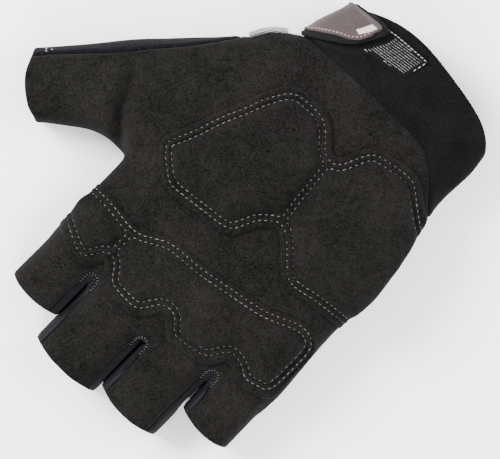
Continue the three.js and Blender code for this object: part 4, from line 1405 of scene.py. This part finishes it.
slot_rows = []
for k in range(3):
    for run in on_surface(skin_tree, round_foot(k, 2.35, 3.5), 0.1):
        place, way, normal = stitch_places(run, SLOT_STITCH)
        slot_rows.append((place, np.cross(normal, way), normal))
over_points, over_faces = model_stitch(1.25, 0.34, 0.34)
slot_stitches = lay_stitches(
    "slot_stitches", slot_rows, over_points, over_faces, slant=18, sink=-0.05, seed=13)

# %% Tack at the end of the thumb's hem
TACKS = [(97.3, 9.5), (95.8, 8.0)]
TACK_WAY = (0.70, -0.71)
TACK_PITCH = 1.8
across = np.linspace(-0.9, 0.9, 9)[:, None] * TACK_WAY
tack_rows = [stitch_places(run, TACK_PITCH)
             for tack in TACKS for run in on_surface(skin_tree, tack + across, 0.02)]
tack_points, tack_faces = model_stitch(1.9, 0.55, 0.5)
thumb_tacks = lay_stitches(
    "thumb_tacks", tack_rows, tack_points, tack_faces, slant=30, sink=-0.05, seed=17)

# %% The pale tape at the thumb's root
TRIM_WIDE, TRIM_WALL, TRIM_TOP = 3.0, 1.8, 14.5
# the glove's outline there, in the plan
TRIM_LINE = [(48.0, -45.3), (46.0, -49.3), (43.8, -53.9), (42.5, -56.1), (40.7, -57.6)]


def lay_tape():
    """Follows the side of the glove from the thumb to the wrist, as wide as it hangs down."""
    line = smooth_line(TRIM_LINE, step=0.35)
    run = np.gradient(line, axis=0)
    outward = np.stack([-run[:, 1], run[:, 0]], axis=1) / np.hypot(*run.T)[:, None]
    rows = []
    for (x, y), (across, along) in zip(line, outward):
        column = []
        for z in np.linspace(TRIM_TOP, TRIM_TOP - TRIM_WIDE, 9):
            way = Vector((-across, -along, 0))
            place, normal, _, _ = skin_tree.ray_cast(Vector((x, y, z)) - way * 6, way, 14)
            column.append((*place, *normal) if place else None)
        if all(column):
            rows.append(column)
    return np.array(rows)


tape_rows = lay_tape()
place, normal = tape_rows[:, :, :3].reshape(-1, 3), tape_rows[:, :, 3:].reshape(-1, 3)
tape_faces = facing_out(place, grid_quads(*tape_rows.shape[:2]).tolist(), normal)
edge_trim = closed_piece("edge_trim", place + TRIM_WALL * normal, place + 0.1 * normal, tape_faces)
print("trim from", place.min(axis=0).round(1), "to", place.max(axis=0).round(1))

# %% [markdown]
# ## Finishes
# Suede is cloth with a short nap: it is matt, its fibres catch a little light at the edges, and its
# colour is blotchy at three sizes at once, from broad handling marks down to single tufts. Each
# finish below is built from a few noises on Object coordinates, which stay put on the cloth and need
# no unwrapping. Sheen, roughness and the like are plain numbers on the shader's own sockets.

# %% A material with short ways to build it
class Finish:
    """A material under construction, with short ways to add its nodes."""

    def __init__(self, name, roughness, sheen=0.0, specular=0.3):
        self.material = bpy.data.materials.new(name)
        self.material.use_nodes = True
        self.nodes, self.links = self.material.node_tree.nodes, self.material.node_tree.links
        self.shader = self.nodes["Principled BSDF"]
        self.shader.inputs["Roughness"].default_value = roughness
        self.shader.inputs["Sheen Weight"].default_value = sheen
        self.shader.inputs["Sheen Roughness"].default_value = 0.5
        self.shader.inputs["Specular IOR Level"].default_value = specular
        self.place = self.nodes.new("ShaderNodeTexCoord").outputs["Object"]

    def turned(self, *angles):
        """The place on the cloth, turned for a pattern by degrees about X, Y and Z."""
        node = self.nodes.new("ShaderNodeMapping")
        node.inputs["Rotation"].default_value = [math.radians(a) for a in angles]
        self.links.new(self.place, node.inputs["Vector"])
        return node.outputs["Vector"]

    def noise(self, size, detail=2.0, rough=0.5):
        """A noise whose lumps are about size millimetres across."""
        node = self.nodes.new("ShaderNodeTexNoise")
        node.inputs["Scale"].default_value = 1000 / size
        node.inputs["Detail"].default_value = detail
        node.inputs["Roughness"].default_value = rough
        self.links.new(self.place, node.inputs["Vector"])
        return node.outputs["Fac"]

    def waves(self, pitch, place=None, waver=0.0):
        """Parallel ribs along the pattern's Y, pitch millimetres apart over its X."""
        node = self.nodes.new("ShaderNodeTexWave")
        node.wave_type = "BANDS"
        node.bands_direction = "X"
        node.wave_profile = "SIN"
        node.inputs["Scale"].default_value = 2 * math.pi / (20 * pitch * MM)
        node.inputs["Distortion"].default_value = waver
        node.inputs["Detail"].default_value = 1.0
        self.links.new(place or self.place, node.inputs["Vector"])
        return node.outputs["Fac"]

    def cells(self, size):
        """Small round cells, as loops or tufts make."""
        node = self.nodes.new("ShaderNodeTexVoronoi")
        node.inputs["Scale"].default_value = 1000 / size
        self.links.new(self.place, node.inputs["Vector"])
        return node.outputs["Distance"]

    def blend(self, shares):
        """A weighted sum of fields: [(field, weight), ...]."""
        total = None
        for field, weight in shares:
            node = self.nodes.new("ShaderNodeMath")
            node.operation = "MULTIPLY_ADD"
            node.inputs[1].default_value = weight
            self.links.new(field, node.inputs[0])
            if total is None:
                node.inputs[2].default_value = 0
            else:
                self.links.new(total, node.inputs[2])
            total = node.outputs[0]
        return total

    def colour(self, field, dark, light, low=0.35, high=0.65):
        """The cloth's colour: dark where the field is under low, light where it is over high."""
        ramp = self.nodes.new("ShaderNodeValToRGB")
        first, last = ramp.color_ramp.elements
        first.position, last.position = low, high
        first.color, last.color = (*dark, 1), (*light, 1)
        self.links.new(field, ramp.inputs["Fac"])
        self.links.new(ramp.outputs["Color"], self.shader.inputs["Base Color"])

    def relief(self, field, height, before=None):
        """Bumps of a height in millimetres."""
        bump = self.nodes.new("ShaderNodeBump")
        bump.inputs["Distance"].default_value = height * MM
        self.links.new(field, bump.inputs["Height"])
        if before:
            self.links.new(before, bump.inputs["Normal"])
        self.links.new(bump.outputs["Normal"], self.shader.inputs["Normal"])
        return bump.outputs["Normal"]


# %% Suede and neoprene
SUEDE_DARK = np.array([0.0006, 0.0006, 0.0005])
SUEDE_LIGHT = np.array([0.0125, 0.0116, 0.0107])


def suede_finish(name, shade=1.0):
    """Black-brown suede, matt and blotchy, with a short nap."""
    f = Finish(name, 0.95, sheen=0.015, specular=0.04)
    broad, middling, fine = f.noise(21, 3), f.noise(2.6, 4), f.noise(0.62, 5, 0.75)
    field = f.blend([(broad, 0.18), (middling, 0.12), (fine, 0.7)])
    f.colour(field, SUEDE_DARK * shade, SUEDE_LIGHT * shade, 0.4, 0.64)
    first = f.relief(f.noise(0.42, 4, 0.8), 0.11)
    f.relief(f.noise(3.2, 3), 0.16, first)
    return f.material


def neoprene_finish():
    """Black neoprene with a fine knit on its face."""
    f = Finish("neoprene", 0.85, sheen=0.008, specular=0.05)
    knit = f.cells(0.42)
    field = f.blend([(f.noise(11, 3), 0.35), (f.noise(0.7, 3, 0.7), 0.65)])
    f.colour(field, (0.0008, 0.0008, 0.0009), (0.0040, 0.0040, 0.0043), 0.38, 0.64)
    f.relief(knit, 0.05)
    return f.material


suede = suede_finish("suede")
overlay_finish = suede_finish("overlay_suede", 0.97)
neoprene = neoprene_finish()
print("made:", suede.name, overlay_finish.name, neoprene.name)

# %% [markdown]
# The knits are patterns of their own. The back's stretch knit has fine wales and courses, the thumb's
# terry is a field of small loops to wipe a brow with, and the gussets are ribbed so that they give
# sideways. Waves make ribs and wales, round cells make loops, and a Bump node raises both a little.

# %% Knits: the back of the hand, the thumb's terry and the gussets
def back_knit_finish():
    """A marled four-way stretch knit with fine wales that run to the fingers."""
    f = Finish("stretch_knit", 0.85, sheen=0.03, specular=0.1)
    wales = f.waves(0.55)
    courses = f.waves(0.8, f.turned(0, 0, 90), 1.5)
    marl, broad = f.noise(0.9, 4, 0.7), f.noise(14, 2)
    field = f.blend([(wales, 0.3), (courses, 0.15), (marl, 0.35), (broad, 0.2)])
    f.colour(field, (0.0026, 0.0026, 0.0031), (0.0165, 0.0165, 0.0185), 0.3, 0.72)
    f.relief(f.blend([(wales, 0.6), (courses, 0.4)]), 0.16)
    return f.material


def terry_finish():
    """Wiping cloth: short navy-black loops."""
    f = Finish("terry", 0.95, sheen=0.02, specular=0.04)
    loops = f.cells(0.75)
    field = f.blend([(loops, 0.45), (f.noise(0.5, 3, 0.7), 0.4), (f.noise(9, 2), 0.15)])
    f.colour(field, (0.0056, 0.0060, 0.0085), (0.0008, 0.0009, 0.0014), 0.22, 0.72)
    first = f.relief(loops, 0.3)
    f.relief(f.noise(0.3, 3), 0.1, first)
    return f.material


def gusset_finish():
    """A ribbed navy stretch knit, its ribs lying along the finger."""
    f = Finish("gusset_knit", 0.8, sheen=0.015, specular=0.08)
    ribs = f.waves(0.62, f.turned(0, 62, 0), 0.6)
    field = f.blend([(ribs, 0.62), (f.noise(0.5, 4, 0.7), 0.38)])
    f.colour(field, (0.0005, 0.0005, 0.0009), (0.0066, 0.0068, 0.0098), 0.3, 0.8)
    f.relief(ribs, 0.22)
    return f.material


def trim_finish():
    """Pale woven tape with a zigzag in it."""
    f = Finish("pale_trim", 0.6, specular=0.3)
    left, right = f.waves(0.9, f.turned(0, 0, 30), 2.5), f.waves(0.9, f.turned(0, 0, 95), 2.5)
    field = f.blend([(left, 0.4), (right, 0.3), (f.noise(0.5, 3, 0.7), 0.3)])
    f.colour(field, (0.06, 0.055, 0.062), (0.34, 0.32, 0.345), 0.32, 0.64)
    f.relief(left, 0.15)
    return f.material


back_knit = back_knit_finish()
terry = terry_finish()
gusset_knit = gusset_finish()
pale_trim = trim_finish()
print("made:", back_knit.name, terry.name, gusset_knit.name, pale_trim.name)

# %% The strap, its face, the hook tape and the threads
def fleck_finish(name, dark, light, roughness, grain, bump, sheen=0.0, specular=0.3):
    """Fine flecks between two shades, for threads, tapes and moulded pieces."""
    f = Finish(name, roughness, sheen=sheen, specular=specular)
    field = f.blend([(f.noise(grain, 4, 0.65), 0.75), (f.noise(grain * 14, 2), 0.25)])
    f.colour(field, dark, light, 0.36, 0.66)
    f.relief(f.noise(grain, 3, 0.6), bump)
    return f.material


loop_cloth = fleck_finish(
    "strap_loop", (0.0022, 0.0022, 0.0024), (0.0085, 0.0088, 0.0088), 0.9, 0.45, 0.14,
    sheen=0.02, specular=0.06)
moulded = fleck_finish(
    "moulded_tab", (0.0255, 0.0182, 0.0175), (0.039, 0.0288, 0.028), 0.55, 0.6, 0.02, specular=0.2)
inlay_finish = fleck_finish("pale_inlay", (0.33, 0.29, 0.28), (0.4, 0.355, 0.345), 0.45, 0.6, 0.015)
tape = fleck_finish(
    "hook_tape", (0.0010, 0.0010, 0.0010), (0.0030, 0.0030, 0.0030), 0.7, 0.3, 0.05, specular=0.06)
# the hooks are dark nylon: their pale grey colour is painted highlight, standing for their glints
painted_glint_nylon = fleck_finish(
    "hook_nylon_painted_glint", (0.012, 0.012, 0.012), (0.2, 0.2, 0.2), 0.2, 1.4, 0.0, specular=0.6)
thread = fleck_finish("grey_thread", (0.06, 0.058, 0.055), (0.135, 0.13, 0.125), 0.5, 0.22, 0.04)
pale_thread = fleck_finish("pale_thread", (0.09, 0.09, 0.095), (0.3, 0.3, 0.31), 0.45, 0.22, 0.04)
dim_thread = fleck_finish("dim_thread", (0.012, 0.012, 0.014), (0.06, 0.06, 0.066), 0.5, 0.22, 0.04)
pink_thread = fleck_finish("pink_thread", (0.2, 0.125, 0.118), (0.4, 0.27, 0.26), 0.5, 0.22, 0.04)
print("made:", loop_cloth.name, moulded.name, inlay_finish.name, tape.name, painted_glint_nylon.name)
print("threads:", thread.name, pale_thread.name, dim_thread.name, pink_thread.name)

# %% Give every piece its finish and say what it stands for
def belongs(thing, finish, node=None):
    """Every piece rides on the glove, and a main piece replaces the solid of its name."""
    thing.data.materials.append(finish)
    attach(thing, "root")
    if node:
        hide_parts(node)
    print(thing.name, "in", finish.name)


for thing, finish, slot, node in [
    (palm_panel, suede, "suede", "palm_panel"),
    (back_panel, back_knit, "stretch_knit", "back_panel"),
    (thumb_back, terry, "terry", "thumb_back"),
    (cuff, neoprene, "neoprene", "cuff"),
    (heel_overlay, overlay_finish, "overlay_suede", "heel_overlay"),
    (knuckle_overlay, overlay_finish, "overlay_suede", "knuckle_overlay"),
    (closure_strap, loop_cloth, "strap_loop", "closure_strap"),
    (tab_face, moulded, "moulded_tab", "tab_face"),
    (tab_inlay, inlay_finish, "pale_inlay", "tab_inlay"),
    (hook_patch, tape, "hook_tape", "hook_patch"),
]:
    belongs(thing, finish, node)
for (gap, depth), (thing, area) in zip(CROTCHES, gussets):
    belongs(thing, gusset_knit, "gusset_" + gap)
for thing, finish, slot in [
    (overlay_stitches, thread, "overlay_suede"),
    (hooks, painted_glint_nylon, "hook_tape"),
    (face_stitches, pink_thread, "moulded_tab"),
    (border_stitches, pale_thread, "hook_tape"),
    (strap_stitches, loop_cloth, "strap_loop"),
    (slot_stitches, dim_thread, "gusset_knit"),
    (thumb_tacks, pale_thread, "terry"),
    (edge_trim, pale_trim, "stretch_knit"),
]:
    belongs(thing, finish)

# %% Print the cut sizes of the cloth pieces
def declare_sheet(thing, area, width, length):
    """Prints a sewn panel's cut rectangle and the share of it that its flat area fills."""
    share = area / (width * length * MM**2)
    print(f"{thing.name}: cut from {width} x {length} mm, {round(100 * share)}% of it")


declare_sheet(palm_panel, palm_area, 176, 150)
declare_sheet(back_panel, back_area, 128, 150)
declare_sheet(thumb_back, thumb_area, 58, 92)
declare_sheet(cuff, cuff_area, 190, 42)
strap_wide, strap_long = (round(size / MM + 1) for size in strap_size[:2])
declare_sheet(closure_strap, strap_area, strap_wide, strap_long)
for thing, area in gussets:
    declare_sheet(thing, area, 26, 34)

# %% [markdown]
# ## The picture
# The photograph looks straight down, with the fingers towards its lower left corner. A long lens far
# above the glove gives the same flat view. Its picture is 500 by 459 points.

# %% Camera
VIEW_WIDTH = 180.0  # millimetres across the picture, at the height of the palm
VIEW_MIDDLE = (-0.5, 4.1, 18.0)
VIEW_TURN = 45.5  # degrees between the picture's left edge and the glove's thumb side
FAR = 1500.0

turn = math.radians(VIEW_TURN)
right = Vector((-math.sin(turn), -math.cos(turn), 0))
up = Vector((math.cos(turn), -math.sin(turn), 0))
lens = bpy.data.cameras.new("camera")
lens.sensor_fit = "HORIZONTAL"
lens.sensor_width = 36
lens.lens = lens.sensor_width * FAR / VIEW_WIDTH
print("lens:", round(lens.lens), "mm")
camera = bpy.data.objects.new("camera", lens)
camera.matrix_world = Matrix((
    (right.x, up.x, 0, VIEW_MIDDLE[0] * MM),
    (right.y, up.y, 0, VIEW_MIDDLE[1] * MM),
    (0, 0, 1, (VIEW_MIDDLE[2] + FAR) * MM),
    (0, 0, 0, 1),
))
bpy.context.scene.collection.objects.link(camera)
bpy.context.scene.camera = camera

# %% [markdown]
# The glove lies on plain white, as for a shop's page, under large soft lamps. A big key from the
# thumb's side, a wide fill and a low lamp give soft shading, and a bright even sky opens the shadows.

# %% Floor
FLOOR_Z = -1.25  # the cloth's walls and stitches reach this far down in places
bpy.ops.object.select_all(action="DESELECT")
bpy.ops.mesh.primitive_plane_add(size=6, location=(0, 0, FLOOR_Z * MM))
floor = bpy.context.active_object
floor.name = "floor"
pale = bpy.data.materials.new("pale_floor")
pale.use_nodes = True
paint = pale.node_tree.nodes["Principled BSDF"].inputs
paint["Base Color"].default_value = (0.98, 0.98, 0.98, 1)
paint["Roughness"].default_value = 0.9
floor.data.materials.append(pale)
print("floor at", FLOOR_Z, "mm")

# %% Studio light
def softbox(name, place, size, power):
    """An area light aimed at the middle of the glove. Places and sizes are in metres."""
    light = bpy.data.lights.new(name, "AREA")
    light.shape = "DISK"
    light.size = size
    light.energy = power
    thing = bpy.data.objects.new(name, light)
    thing.location = place
    aim = Vector((0, 0, 0.02)) - Vector(place)
    thing.rotation_euler = aim.to_track_quat("-Z", "Y").to_euler()
    bpy.context.scene.collection.objects.link(thing)


softbox("key", tuple((-0.75 * right + 0.55 * up) + Vector((0, 0, 0.75))), 0.6, 44)
softbox("fill", tuple((0.9 * right + 0.1 * up) + Vector((0, 0, 0.8))), 0.9, 18)
softbox("low", tuple((-0.1 * right - 0.9 * up) + Vector((0, 0, 0.7))), 0.8, 15)
world = bpy.data.worlds.new("studio")
bpy.context.scene.world = world
world.use_nodes = True
sky = world.node_tree.nodes["Background"].inputs
sky["Color"].default_value = (1, 1, 1, 1)
sky["Strength"].default_value = 1.5

# %% Remove the hand form
bpy.data.objects.remove(form)
